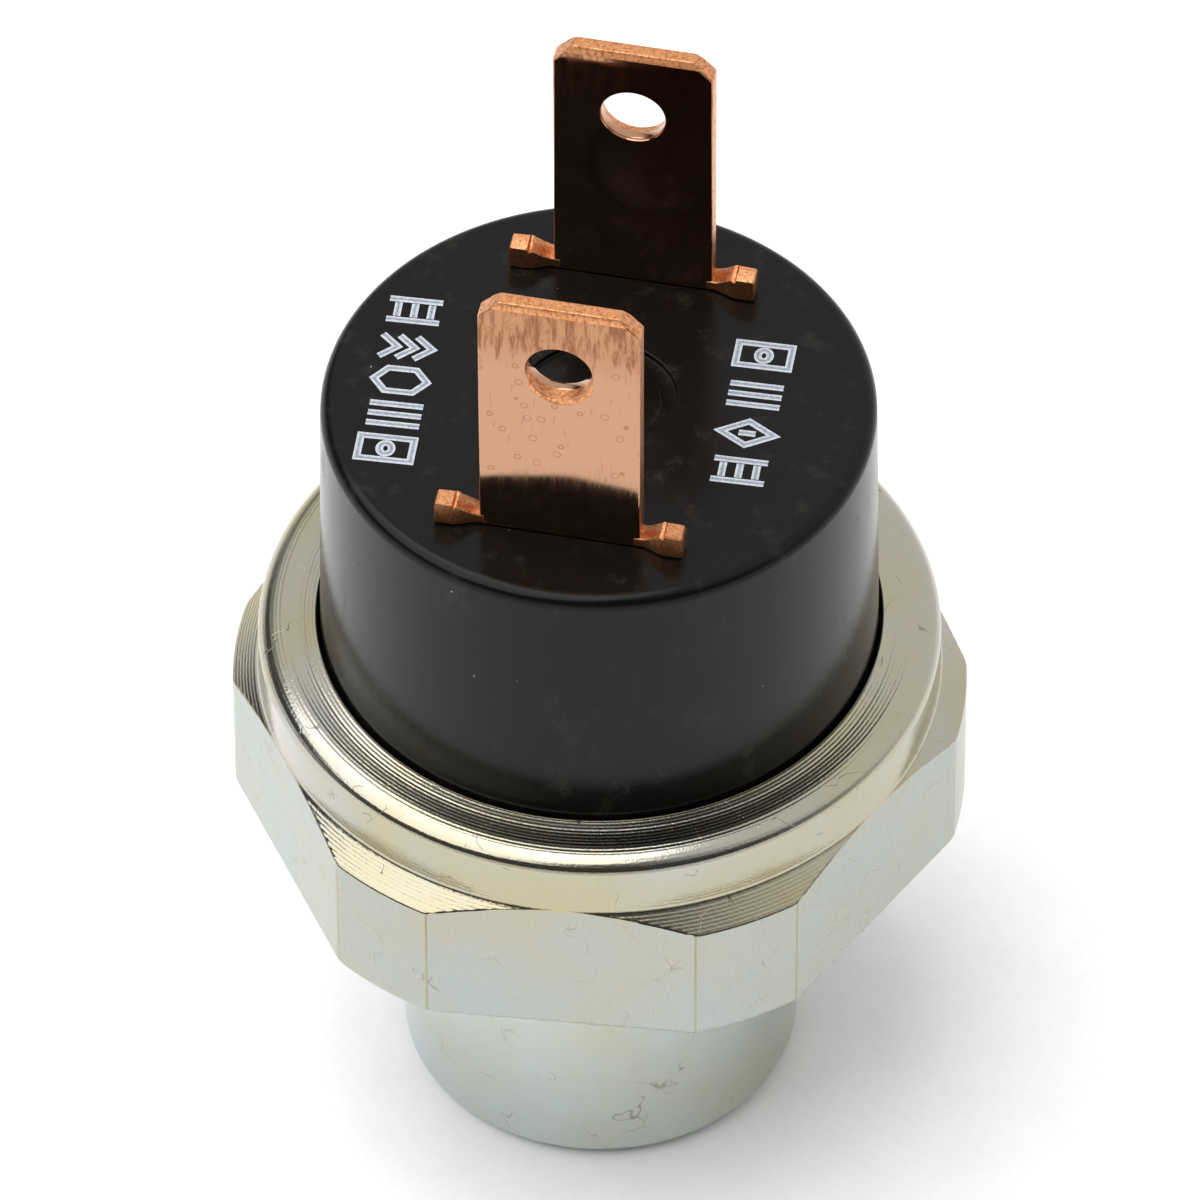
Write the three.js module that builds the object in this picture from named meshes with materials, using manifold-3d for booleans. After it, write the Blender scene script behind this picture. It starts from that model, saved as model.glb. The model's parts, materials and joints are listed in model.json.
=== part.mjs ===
// Pressure switch: a hexagonal steel body with a plain female-ported spigot, a moulded terminal
// base held by the body's rolled-over collar, and a snap-disc contact set inside.
//
// Millimetres. +Z runs up the axis from the end of the spigot to the tips of the terminals.
// The origin is the centre of the spigot's end face. Two of the six flats face -Y and +Y.

import * as THREE from "three";
import { mergeVertices } from "three/addons/utils/BufferGeometryUtils.js";
import Module from "manifold-3d";

const wasm = await Module();
wasm.setup();

// ---------------------------------------------------------------- driving dimensions

// Body, turned and milled from one bar.
const SPIGOT_DIAMETER = 15.8;
const SPIGOT_LENGTH = 14.4;
const SPIGOT_CHAMFER = 0.6;
const HEX_ACROSS_FLATS = 27;
const HEX_HEIGHT = 5.9; // of the turned corners, between their two chamfers
const HEX_CORNER_STANDOUT = 1.0; // how far the turned corners stand outside the flats, radially
const HEX_UNDERSIDE_CHAMFER = 0.3;
const HEX_TOP_CHAMFER_ANGLE = 38; // degrees above the horizontal
const COLLAR_STEP = 0.05; // the collar is turned to this much inside the flats, radially
const COLLAR_WALL = 1.15;
const LIP_THICKNESS = 0.9;
const LIP_CLEARANCE = 0.1; // between the rolled lip and the terminal base
const LIP_CROWN = 0.12; // rise from the shoulder in to the lip's inner edge
const SHOULDER_ROLL = 1.15; // how far in from the collar's wall its shoulder curves
const SHOULDER_DROP = 0.75; // height of that curve
const CHAMBER_FLOOR_HEIGHT = 1.8; // stack floor above the underside of the hexagon

// Pressure port: a parallel pipe thread in the spigot, shown at its core diameter.
const PORT_CORE_DIAMETER = 8.6;
const PORT_THREAD_DIAMETER = 9.73;
const PORT_DEPTH = 10.5;
const SNUBBER_DIAMETER = 5.8;
const SNUBBER_THICKNESS = 1.6;
const SNUBBER_SEAT_DEPTH = 2.0;
const SNUBBER_FIT = 0.05;
const ORIFICE_DIAMETER = 1.6;
const CHAMBER_RECESS_DEPTH = 0.5;
const CHAMBER_RECESS_MARGIN = 1.2; // outside the piston, radially

// Seal and diaphragm.
const O_RING_SECTION = 1.16; // as squeezed into its groove
const O_RING_GROOVE_WIDTH = 2.0;
const O_RING_GROOVE_DEPTH = 1.2;
const O_RING_LAND = 1.4; // floor left between the chamber recess and the groove
const DIAPHRAGM_THICKNESS = 0.2;
const BACKING_FILM_THICKNESS = 0.2;

// Stack of rings and plates above the diaphragm, and the gap between neighbours in it.
const LAYER_GAP = 0.05;
const STACK_CLEARANCE = 0.15; // stack to chamber wall, radially
const GUIDE_RING_THICKNESS = 1.7;
const RETAINER_THICKNESS = 1.3;
const RETAINER_SEAT_HEIGHT = 0.75;
const PIN_PLATE_THICKNESS = 0.9;
const PIN_PLATE_BOSS_DIAMETER = 4.8;
const PIN_PLATE_BOSS_HEIGHT = 2.65;
const GASKET_THICKNESS = 0.5;
const GASKET_WIDTH = 2.5;
const WASHER_THICKNESS = 0.25;
const WASHER_CLEARANCE = 0.15;

// Piston, snap disc and push pin.
const PISTON_DIAMETER = 12.0;
const PISTON_THICKNESS = 1.3;
const PISTON_BOSS_DIAMETER = 3.6;
const PISTON_BOSS_HEIGHT = 0.25;
const RUNNING_CLEARANCE = 0.06;
const DISC_DIAMETER = 18.8;
const DISC_THICKNESS = 0.3;
const DISC_SIDE_CLEARANCE = 0.15;
const DISC_SEAT_WIDTH = 1.0;
const PIN_DIAMETER = 2.0;
const PIN_END_RADIUS = 0.3;

// Terminal base: a moulded cup, flanged at its open end.
const FLANGE_THICKNESS = 1.6;
const FLANGE_LEDGE = 1.15;
const BASE_HEIGHT = 12.0; // standing out of the lip
const BASE_DRAFT = 0.9; // degrees
const BASE_WALL = 2.2;
const BASE_TOP_THICKNESS = 3.3;
const BASE_EDGE_RADIUS = 0.55;
const TOP_RECESS_DIAMETER = 6.2;
const TOP_RECESS_DEPTH = 0.25;
const SPRING_PILOT_DIAMETER = 2.6;
const SPRING_PILOT_LENGTH = 1.2;
const SLOT_CLEARANCE = 0.1;

// Blade terminals, each one strip: blade, two locking ears, leg and contact foot.
const TERMINAL_CLOCKING = -5.2; // degrees, terminals and base turned from the flats
const TERMINAL_WALL_GAP = 0.57; // leg corners to the base's inner wall
const BLADE_WIDTH = 6.3;
const BLADE_THICKNESS = 0.8;
const BLADE_HEIGHT = 12.27; // standing out of the base
const BLADE_TIP_CHAMFER = 0.8;
const BLADE_BEVEL_HEIGHT = 0.3;
const BLADE_TIP_THICKNESS = 0.56;
const BLADE_HOLE_DIAMETER = 2.5;
const BLADE_HOLE_BELOW_TIP = 3.3;
const EAR_REACH = 1.72;
const EAR_HEIGHT = 1.1;
const EAR_POST_WIDTH = 0.75;
const EAR_NECK_HEIGHT = 0.45;
const EAR_LIFT = 0.05; // under the ears
const LEG_SHOULDER = 0.45; // how far the leg stands outside the blade, each side
const FOOT_BEND_RADIUS = 0.5;
const FOOT_TO_PLATE = 4.75; // upper face of the foot above the pin plate
const FOOT_BOSS_CLEARANCE = 1.0; // foot end to the pin plate's boss

// Contacts, bridge and return spring.
const CONTACT_HEAD_DIAMETER = 2.4;
const CONTACT_HEAD_HEIGHT = 0.5;
const CONTACT_CROWN_DIAMETER = 1.92; // flat middle of the head
const CONTACT_CROWN_HEIGHT = 0.15; // from the head's edge up to that flat
const CONTACT_SHANK_DIAMETER = 1.2;
const CONTACT_TAIL_DIAMETER = 1.9;
const CONTACT_TAIL_HEIGHT = 0.4;
const CONTACT_HOLE_CLEARANCE = 0.1;
const CONTACT_FROM_FOOT_END = 1.35;
const BRIDGE_THICKNESS = 0.6;
const BRIDGE_WIDTH = 3.6;
const BRIDGE_OVERHANG = 1.35; // past each contact's centre
const SEAT_SPIGOT_DIAMETER = 2.4;
const SEAT_FLANGE_DIAMETER = 6.0;
const SEAT_FLANGE_THICKNESS = 0.55;
const SEAT_PILOT_LENGTH = 1.05;
const SPRING_WIRE = 0.5;
const SPRING_COIL_CLEARANCE = 0.3; // coil to pilots, radially
const SPRING_CLOSED_TURNS = 1; // at each end
const SPRING_ACTIVE_TURNS = 3;
const SPRING_CLOSED_PITCH = 0.6;

// Facets of the round pieces by size, and of the arcs in their outlines.
const LARGE_ROUND = 48;
const MEDIUM_ROUND = 36;
const SMALL_ROUND = 16;
const O_RING_FACETS = 8;
const SPRING_FACETS = 6;
const SPRING_STEPS_PER_TURN = 12;
const SHOULDER_STEPS = 6;
const BASE_EDGE_STEPS = 5;
const DISC_STEPS = 4;
const BEND_OUTSIDE_STEPS = 4;
const BEND_INSIDE_STEPS = 3;
const PIN_END_STEPS = 3;

// How far a cutting shape runs past the piece it cuts.
const OVERCUT = 1;

// ---------------------------------------------------------------- sizes that follow

const radians = THREE.MathUtils.degToRad;

const hexBottom = SPIGOT_LENGTH;
const hexTop = hexBottom + HEX_HEIGHT;
const cornerRadius = HEX_ACROSS_FLATS / 2 + HEX_CORNER_STANDOUT;
const collarRadius = HEX_ACROSS_FLATS / 2 - COLLAR_STEP;
const collarBottom = hexTop + (cornerRadius - collarRadius) * Math.tan(radians(HEX_TOP_CHAMFER_ANGLE));
const chamberRadius = collarRadius - COLLAR_WALL;
const stackRadius = chamberRadius - STACK_CLEARANCE;

// Each layer of the stack starts one gap above the layer below it.
const stackFloor = hexBottom + CHAMBER_FLOOR_HEIGHT;
const diaphragmBottom = stackFloor + LAYER_GAP;
const backingBottom = diaphragmBottom + DIAPHRAGM_THICKNESS + LAYER_GAP;
const guideBottom = backingBottom + BACKING_FILM_THICKNESS + LAYER_GAP;
const retainerBottom = guideBottom + GUIDE_RING_THICKNESS + LAYER_GAP;
const pinPlateBottom = retainerBottom + RETAINER_THICKNESS + LAYER_GAP;
const pinPlateTop = pinPlateBottom + PIN_PLATE_THICKNESS;
const gasketBottom = pinPlateTop + LAYER_GAP;
const baseBottom = gasketBottom + GASKET_THICKNESS + LAYER_GAP;
const flangeTop = baseBottom + FLANGE_THICKNESS;
const lipBottom = flangeTop + LAYER_GAP;
const lipTop = lipBottom + LIP_THICKNESS;

const baseFootRadius = stackRadius - FLANGE_LEDGE;
const lipRadius = baseFootRadius + LIP_CLEARANCE;
const baseTop = lipTop + BASE_HEIGHT;
const baseTopRadius = baseFootRadius - (baseTop - flangeTop) * Math.tan(radians(BASE_DRAFT));
const baseCavityRadius = baseFootRadius - BASE_WALL;
const baseCeiling = baseTop - BASE_TOP_THICKNESS;

const pistonRadius = PISTON_DIAMETER / 2;
const recessRadius = pistonRadius + CHAMBER_RECESS_MARGIN;
const grooveInner = recessRadius + O_RING_LAND;
const grooveOuter = grooveInner + O_RING_GROOVE_WIDTH;
const snubberSeatTop = PORT_DEPTH + SNUBBER_SEAT_DEPTH;
const pistonBossTop = guideBottom + PISTON_THICKNESS + PISTON_BOSS_HEIGHT;
const discRadius = DISC_DIAMETER / 2;
const discRimTop = retainerBottom + RETAINER_SEAT_HEIGHT - LAYER_GAP;
const discCentreBottom = pistonBossTop + LAYER_GAP;
const pinBottom = discCentreBottom + DISC_THICKNESS + LAYER_GAP;
const pinBoreRadius = PIN_DIAMETER / 2 + RUNNING_CLEARANCE;
const pinBossRadius = PIN_PLATE_BOSS_DIAMETER / 2;

const legHalfWidth = BLADE_WIDTH / 2 + LEG_SHOULDER;
const legOuterFace = Math.sqrt((baseCavityRadius - TERMINAL_WALL_GAP) ** 2 - legHalfWidth ** 2);
const bladePlane = legOuterFace - BLADE_THICKNESS / 2;
const bladeTop = baseTop + BLADE_HEIGHT;
const footEnd = pinBossRadius + FOOT_BOSS_CLEARANCE;
const footBottom = pinPlateTop + FOOT_TO_PLATE - BLADE_THICKNESS;
const footTop = footBottom + BLADE_THICKNESS;
const contactPlace = footEnd + CONTACT_FROM_FOOT_END;
const contactHoleRadius = CONTACT_SHANK_DIAMETER / 2 + CONTACT_HOLE_CLEARANCE;

const movingContactBottom = footTop + CONTACT_HEAD_HEIGHT + 2 * LAYER_GAP;
const bridgeBottom = movingContactBottom + CONTACT_HEAD_HEIGHT + LAYER_GAP;
const bridgeTop = bridgeBottom + BRIDGE_THICKNESS;
const seatBottom = bridgeBottom;
const seatFlangeBottom = bridgeTop + LAYER_GAP;
const seatFlangeTop = seatFlangeBottom + SEAT_FLANGE_THICKNESS;
const pinTop = seatBottom - LAYER_GAP;
const springBottom = seatFlangeTop + LAYER_GAP;
const springTop = baseCeiling - LAYER_GAP;
const springMeanRadius = SPRING_PILOT_DIAMETER / 2 + SPRING_COIL_CLEARANCE + SPRING_WIRE / 2;

// ---------------------------------------------------------------- solids and meshes

/** Points of an arc in a radius-height plane, from one angle to another in degrees. */
function arc(centreR, centreZ, radius, from, to, steps) {
  return Array.from({ length: steps + 1 }, (_, i) => {
    const angle = radians(from + ((to - from) * i) / steps);
    return [centreR + radius * Math.cos(angle), centreZ + radius * Math.sin(angle)];
  });
}

/** Turns [radius, height] points about +Z. The profile runs anticlockwise, radius to the right. */
function turned(profile, facets) {
  const points = profile.map(([radius, height]) => new THREE.Vector2(radius, height));
  return new THREE.LatheGeometry(points, facets).rotateX(Math.PI / 2);
}

/** Turns a profile that closes on itself around a through hole. */
function turnedRing(profile, facets) {
  return turned([...profile, profile[0]], facets);
}

/** A flat washer between two radii and two heights. */
function washer(inner, outer, bottom, top, facets) {
  return turnedRing([[inner, bottom], [outer, bottom], [outer, top], [inner, top]], facets);
}

/** A round bar on the axis between two heights. */
function bar(radius, bottom, top, facets) {
  return turned([[0, bottom], [radius, bottom], [radius, top], [0, top]], facets);
}

/** A straight extrusion of an outline of [x, y] points along +Z. */
function extruded(outline, depth) {
  const shape = new THREE.Shape(outline.map(([x, y]) => new THREE.Vector2(x, y)));
  return new THREE.ExtrudeGeometry(shape, { depth, bevelEnabled: false });
}

/** A closed geometry as a solid that can be joined, cut and intersected. */
function solidOf(geometry) {
  const bare = geometry.clone();
  bare.deleteAttribute("normal");
  bare.deleteAttribute("uv");
  const merged = mergeVertices(bare, 1e-4);
  const vertProperties = merged.attributes.position.array;
  const triVerts = new Uint32Array(merged.index.array);
  return new wasm.Manifold(new wasm.Mesh({ numProp: 3, vertProperties, triVerts }));
}

/** A solid as a geometry. */
function geometryOf(solid) {
  const { vertProperties, triVerts } = solid.getMesh();
  const geometry = new THREE.BufferGeometry();
  geometry.setAttribute("position", new THREE.BufferAttribute(new Float32Array(vertProperties), 3));
  geometry.setIndex(new THREE.BufferAttribute(new Uint32Array(triVerts), 1));
  geometry.computeVertexNormals();
  return geometry;
}

/** A named mesh of one piece. */
function piece(name, geometry, material) {
  const mesh = new THREE.Mesh(geometry, material);
  mesh.name = name;
  return mesh;
}

// ---------------------------------------------------------------- materials

const finish = (color, metalness, roughness) =>
  new THREE.MeshStandardMaterial({ color, metalness, roughness });

const zincPlatedSteel = () => finish(0xc6c4b6, 1, 0.35);
const copperStrip = () => finish(0xd9a27e, 1, 0.18);
const phenolic = () => finish(0x242426, 0, 0.45);
const springSteel = () => finish(0xa9adb0, 1, 0.3);
const machinedBrass = () => finish(0xc9a65a, 1, 0.35);
const silverContact = () => finish(0xdfe0e0, 1, 0.25);
const sinteredBronze = () => finish(0x9c7440, 1, 0.7);
const polyimideFilm = () => finish(0xc8802c, 0, 0.3);
const fluoropolymerFilm = () => finish(0xe8e8e2, 0, 0.5);
const nitrileRubber = () => finish(0x1d1d1e, 0, 0.7);
const ceramic = () => finish(0xf0ede4, 0, 0.3);
const fibreBoard = () => finish(0xb89c74, 0, 0.8);
const nylon = () => finish(0xe4dfcf, 0, 0.5);

// ---------------------------------------------------------------- body and pressure side

/** The body's turned shape: spigot, blank for the hexagon, collar, lip, stack chamber and port. */
function bodyProfile() {
  const spigotRadius = SPIGOT_DIAMETER / 2;
  const portRadius = PORT_CORE_DIAMETER / 2;
  const threadRadius = PORT_THREAD_DIAMETER / 2;
  const snubberSeatRadius = SNUBBER_DIAMETER / 2 + SNUBBER_FIT;
  const shoulder = arc(0, 0, 1, 0, 90, SHOULDER_STEPS).map(([across, up]) => [
    collarRadius - SHOULDER_ROLL * (1 - across),
    lipTop - LIP_CROWN - SHOULDER_DROP * (1 - up),
  ]);
  return [
    [threadRadius, 0],
    [spigotRadius - SPIGOT_CHAMFER, 0],
    [spigotRadius, SPIGOT_CHAMFER],
    [spigotRadius, hexBottom],
    [cornerRadius - HEX_UNDERSIDE_CHAMFER, hexBottom],
    [cornerRadius, hexBottom + HEX_UNDERSIDE_CHAMFER],
    [cornerRadius, hexTop],
    [collarRadius, collarBottom],
    ...shoulder,
    [lipRadius, lipTop],
    [lipRadius, lipBottom],
    [chamberRadius, lipBottom],
    [chamberRadius, stackFloor],
    [grooveOuter, stackFloor],
    [grooveOuter, stackFloor - O_RING_GROOVE_DEPTH],
    [grooveInner, stackFloor - O_RING_GROOVE_DEPTH],
    [grooveInner, stackFloor],
    [recessRadius, stackFloor],
    [recessRadius, stackFloor - CHAMBER_RECESS_DEPTH],
    [ORIFICE_DIAMETER / 2, stackFloor - CHAMBER_RECESS_DEPTH],
    [ORIFICE_DIAMETER / 2, snubberSeatTop],
    [snubberSeatRadius, snubberSeatTop],
    [snubberSeatRadius, PORT_DEPTH],
    [portRadius, PORT_DEPTH],
    [portRadius, threadRadius - portRadius],
  ];
}

/** The body: its turned blank, milled to a hexagon with two flats square to Y. */
function hexBody() {
  const circumradius = HEX_ACROSS_FLATS / 2 / Math.cos(radians(30));
  const hexagon = Array.from({ length: 6 }, (_, i) => [
    circumradius * Math.cos(radians(60 * i)),
    circumradius * Math.sin(radians(60 * i)),
  ]);
  const blank = solidOf(turnedRing(bodyProfile(), LARGE_ROUND));
  const flats = solidOf(extruded(hexagon, lipTop + 2 * OVERCUT).translate(0, 0, -OVERCUT));
  return piece("hex_body", geometryOf(blank.intersect(flats)), zincPlatedSteel());
}

/** A porous disc that damps pressure spikes, seated at the head of the port. */
function inletSnubber() {
  const bottom = snubberSeatTop - SNUBBER_FIT - SNUBBER_THICKNESS;
  const shape = bar(SNUBBER_DIAMETER / 2, bottom, bottom + SNUBBER_THICKNESS, SMALL_ROUND);
  return piece("inlet_snubber", shape, sinteredBronze());
}

/** The seal ring, resting in its groove under the rim of the diaphragm. */
function diaphragmSealRing() {
  const centreRadius = (grooveInner + grooveOuter) / 2;
  const centreHeight = stackFloor - O_RING_GROOVE_DEPTH / 2;
  const section = arc(centreRadius, centreHeight, O_RING_SECTION / 2, 0, 360, O_RING_FACETS);
  return piece("diaphragm_seal_ring", turned(section, MEDIUM_ROUND), nitrileRubber());
}

function diaphragm() {
  const shape = bar(stackRadius, diaphragmBottom, diaphragmBottom + DIAPHRAGM_THICKNESS, MEDIUM_ROUND);
  return piece("diaphragm", shape, polyimideFilm());
}

function backingFilm() {
  const shape = bar(stackRadius, backingBottom, backingBottom + BACKING_FILM_THICKNESS, MEDIUM_ROUND);
  return piece("diaphragm_backing_film", shape, fluoropolymerFilm());
}

// ---------------------------------------------------------------- piston, snap disc and pin

/** The ring that the piston slides in. */
function pistonGuideRing() {
  const inner = pistonRadius + RUNNING_CLEARANCE;
  const top = guideBottom + GUIDE_RING_THICKNESS;
  const ring = washer(inner, stackRadius, guideBottom, top, MEDIUM_ROUND);
  return piece("piston_guide_ring", ring, machinedBrass());
}

function pressurePiston() {
  const shoulder = guideBottom + PISTON_THICKNESS;
  const bossRadius = PISTON_BOSS_DIAMETER / 2;
  const profile = [
    [0, guideBottom],
    [pistonRadius, guideBottom],
    [pistonRadius, shoulder],
    [bossRadius, shoulder],
    [bossRadius, pistonBossTop],
    [0, pistonBossTop],
  ];
  return piece("pressure_piston", turned(profile, MEDIUM_ROUND), machinedBrass());
}

/** The snap disc, dished down on to the piston and held at its rim under the retainer's seat. */
function snapDisc() {
  const dish = discRimTop - DISC_THICKNESS - discCentreBottom;
  const underside = Array.from({ length: DISC_STEPS + 1 }, (_, i) => {
    const share = i / DISC_STEPS;
    return [discRadius * share, discCentreBottom + dish * share * share];
  });
  const upperSide = underside.map(([radius, height]) => [radius, height + DISC_THICKNESS]).reverse();
  return piece("snap_disc", turned([...underside, ...upperSide], MEDIUM_ROUND), springSteel());
}

/** The ring whose step is the seat of the snap disc's rim. */
function discRetainerRing() {
  const skirtRadius = discRadius + DISC_SIDE_CLEARANCE;
  const seatInner = discRadius - DISC_SEAT_WIDTH;
  const seat = retainerBottom + RETAINER_SEAT_HEIGHT;
  const top = retainerBottom + RETAINER_THICKNESS;
  const profile = [
    [skirtRadius, retainerBottom],
    [stackRadius, retainerBottom],
    [stackRadius, top],
    [seatInner, top],
    [seatInner, seat],
    [skirtRadius, seat],
  ];
  return piece("disc_retainer_ring", turnedRing(profile, MEDIUM_ROUND), zincPlatedSteel());
}

/** The plate that closes the pressure side, with a boss that guides the push pin. */
function pinGuidePlate() {
  const bossTop = pinPlateTop + PIN_PLATE_BOSS_HEIGHT;
  const profile = [
    [pinBoreRadius, pinPlateBottom],
    [stackRadius, pinPlateBottom],
    [stackRadius, pinPlateTop],
    [pinBossRadius, pinPlateTop],
    [pinBossRadius, bossTop],
    [pinBoreRadius, bossTop],
  ];
  return piece("pin_guide_plate", turnedRing(profile, MEDIUM_ROUND), zincPlatedSteel());
}

function insulatingWasher() {
  const inner = pinBossRadius + WASHER_CLEARANCE;
  const outer = stackRadius - GASKET_WIDTH - WASHER_CLEARANCE;
  const shape = washer(inner, outer, gasketBottom, gasketBottom + WASHER_THICKNESS, MEDIUM_ROUND);
  return piece("insulating_washer", shape, fibreBoard());
}

/** The insulating pin that carries the disc's travel up to the contact bridge. */
function pushPin() {
  const radius = PIN_DIAMETER / 2;
  const core = radius - PIN_END_RADIUS;
  const profile = [
    [0, pinBottom],
    ...arc(core, pinBottom + PIN_END_RADIUS, PIN_END_RADIUS, -90, 0, PIN_END_STEPS),
    ...arc(core, pinTop - PIN_END_RADIUS, PIN_END_RADIUS, 0, 90, PIN_END_STEPS),
    [0, pinTop],
  ];
  return piece("push_pin", turned(profile, SMALL_ROUND), ceramic());
}

// ---------------------------------------------------------------- terminal base

function baseGasket() {
  const top = gasketBottom + GASKET_THICKNESS;
  const shape = washer(stackRadius - GASKET_WIDTH, stackRadius, gasketBottom, top, MEDIUM_ROUND);
  return piece("base_gasket", shape, nitrileRubber());
}

/** The cup: flange, drafted wall, rounded top edge, spring pilot inside and recess on top. */
function baseProfile() {
  const recess = TOP_RECESS_DIAMETER / 2;
  const pilot = SPRING_PILOT_DIAMETER / 2;
  const edgeCentre = baseTopRadius - BASE_EDGE_RADIUS;
  return [
    [0, baseCeiling - SPRING_PILOT_LENGTH],
    [pilot, baseCeiling - SPRING_PILOT_LENGTH],
    [pilot, baseCeiling],
    [baseCavityRadius, baseCeiling],
    [baseCavityRadius, baseBottom],
    [stackRadius, baseBottom],
    [stackRadius, flangeTop],
    [baseFootRadius, flangeTop],
    ...arc(edgeCentre, baseTop - BASE_EDGE_RADIUS, BASE_EDGE_RADIUS, 0, 90, BASE_EDGE_STEPS),
    [recess, baseTop],
    [recess, baseTop - TOP_RECESS_DEPTH],
    [0, baseTop - TOP_RECESS_DEPTH],
  ];
}

/** A slot through the base's top that a blade passes through. */
function bladeSlot(side) {
  const width = BLADE_WIDTH + 2 * SLOT_CLEARANCE;
  const depth = BLADE_THICKNESS + 2 * SLOT_CLEARANCE;
  const height = BASE_TOP_THICKNESS + 2 * OVERCUT;
  const centre = baseCeiling + BASE_TOP_THICKNESS / 2;
  return solidOf(new THREE.BoxGeometry(width, depth, height).translate(0, side * bladePlane, centre));
}

function terminalBase() {
  const cup = solidOf(turned(baseProfile(), LARGE_ROUND));
  const slotted = cup.subtract(bladeSlot(-1)).subtract(bladeSlot(1));
  return piece("terminal_base", geometryOf(slotted), phenolic());
}

// ---------------------------------------------------------------- terminals

/** One half of a terminal seen square on: [x, z] from the foot up to the tip, x positive. */
function terminalHalfOutline() {
  const half = BLADE_WIDTH / 2;
  const earBottom = baseTop + EAR_LIFT;
  const earTop = earBottom + EAR_HEIGHT;
  const neckTop = earBottom + EAR_NECK_HEIGHT;
  const postInner = half + EAR_REACH - EAR_POST_WIDTH;
  const shoulder = baseCeiling - LAYER_GAP;
  return [
    [legHalfWidth, footBottom],
    [legHalfWidth, shoulder],
    [half, shoulder],
    [half, earBottom],
    [half + EAR_REACH, earBottom],
    [half + EAR_REACH, earTop],
    [postInner, earTop],
    [half, neckTop],
    [half, bladeTop - BLADE_TIP_CHAMFER],
    [half - BLADE_TIP_CHAMFER, bladeTop],
  ];
}

/** A terminal seen edge on: [y, z], the blade outermost and the foot reaching in to the axis. */
function terminalEdgeOutline() {
  const outer = legOuterFace;
  const inner = outer - BLADE_THICKNESS;
  const taper = (BLADE_THICKNESS - BLADE_TIP_THICKNESS) / 2;
  const bevel = bladeTop - BLADE_BEVEL_HEIGHT;
  const insideRadius = FOOT_BEND_RADIUS;
  const outsideRadius = FOOT_BEND_RADIUS + BLADE_THICKNESS;
  const bendY = inner - insideRadius;
  const bendZ = footTop + insideRadius;
  return [
    [footEnd, footBottom],
    ...arc(bendY, bendZ, outsideRadius, -90, 0, BEND_OUTSIDE_STEPS),
    [outer, bevel],
    [outer - taper, bladeTop],
    [inner + taper, bladeTop],
    [inner, bevel],
    ...arc(bendY, bendZ, insideRadius, 0, -90, BEND_INSIDE_STEPS),
    [footEnd, footTop],
  ];
}

/** A terminal on the +Y side: its two outlines crossed, then pierced for the latch and the rivet. */
function terminalSolid() {
  const half = terminalHalfOutline();
  const outline = [...half, ...half.map(([x, z]) => [-x, z]).reverse()];
  const reach = 2 * legOuterFace;
  const width = 2 * (legHalfWidth + EAR_REACH);
  // The first turn stands an outline up along Z; the second lays an extrusion along X.
  const faceOn = extruded(outline, reach).rotateX(Math.PI / 2).translate(0, reach, 0);
  const edgeOn = extruded(terminalEdgeOutline(), width)
    .rotateX(Math.PI / 2)
    .rotateZ(Math.PI / 2)
    .translate(-width / 2, 0, 0);
  const latchHole = bar(BLADE_HOLE_DIAMETER / 2, -BLADE_THICKNESS, BLADE_THICKNESS, SMALL_ROUND)
    .rotateX(Math.PI / 2)
    .translate(0, bladePlane, bladeTop - BLADE_HOLE_BELOW_TIP);
  const rivetHole = bar(contactHoleRadius, footBottom - OVERCUT, footTop + OVERCUT, SMALL_ROUND)
    .translate(0, contactPlace, 0);
  const strip = solidOf(faceOn).intersect(solidOf(edgeOn));
  return strip.subtract(solidOf(latchHole)).subtract(solidOf(rivetHole));
}

/** One of the two terminals; the front one, at -Y, is the rear one turned half round. */
function terminal(name, side) {
  const mesh = piece(name, geometryOf(terminalSolid()), copperStrip());
  mesh.rotation.z = side > 0 ? 0 : Math.PI;
  return mesh;
}

// ---------------------------------------------------------------- contacts, bridge and spring

/** A contact rivet: a domed head against one side of a strip and a closed tail on the other. */
function contactRivet(name, side, headBottom, tailUp) {
  const tailLength = CONTACT_TAIL_HEIGHT;
  const grip = tailUp ? BRIDGE_THICKNESS : BLADE_THICKNESS;
  const head = CONTACT_HEAD_DIAMETER / 2;
  const shank = CONTACT_SHANK_DIAMETER / 2;
  const tail = CONTACT_TAIL_DIAMETER / 2;
  const gripTop = grip + 2 * LAYER_GAP;
  const profile = [
    [0, -CONTACT_HEAD_HEIGHT],
    [CONTACT_CROWN_DIAMETER / 2, -CONTACT_HEAD_HEIGHT],
    [head, CONTACT_CROWN_HEIGHT - CONTACT_HEAD_HEIGHT],
    [head, 0],
    [shank, 0],
    [shank, gripTop],
    [tail, gripTop],
    [tail, gripTop + tailLength / 2],
    [shank, gripTop + tailLength],
    [0, gripTop + tailLength],
  ];
  const mesh = piece(name, turned(profile, SMALL_ROUND), silverContact());
  mesh.rotation.x = tailUp ? 0 : Math.PI;
  mesh.position.set(0, side * contactPlace, headBottom + (tailUp ? CONTACT_HEAD_HEIGHT : 0));
  return mesh;
}

/** The strip that joins the two fixed contacts until the pin lifts it. */
function contactBridge() {
  const length = 2 * (contactPlace + BRIDGE_OVERHANG);
  const middle = (bridgeBottom + bridgeTop) / 2;
  const blank = new THREE.BoxGeometry(BRIDGE_WIDTH, length, BRIDGE_THICKNESS);
  const strip = solidOf(blank.translate(0, 0, middle));
  const hole = (radius, y) =>
    solidOf(bar(radius, bridgeBottom - OVERCUT, bridgeTop + OVERCUT, SMALL_ROUND).translate(0, y, 0));
  const pierced = strip
    .subtract(hole(SEAT_SPIGOT_DIAMETER / 2 + CONTACT_HOLE_CLEARANCE, 0))
    .subtract(hole(contactHoleRadius, -contactPlace))
    .subtract(hole(contactHoleRadius, contactPlace));
  return piece("contact_bridge", geometryOf(pierced), copperStrip());
}

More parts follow.
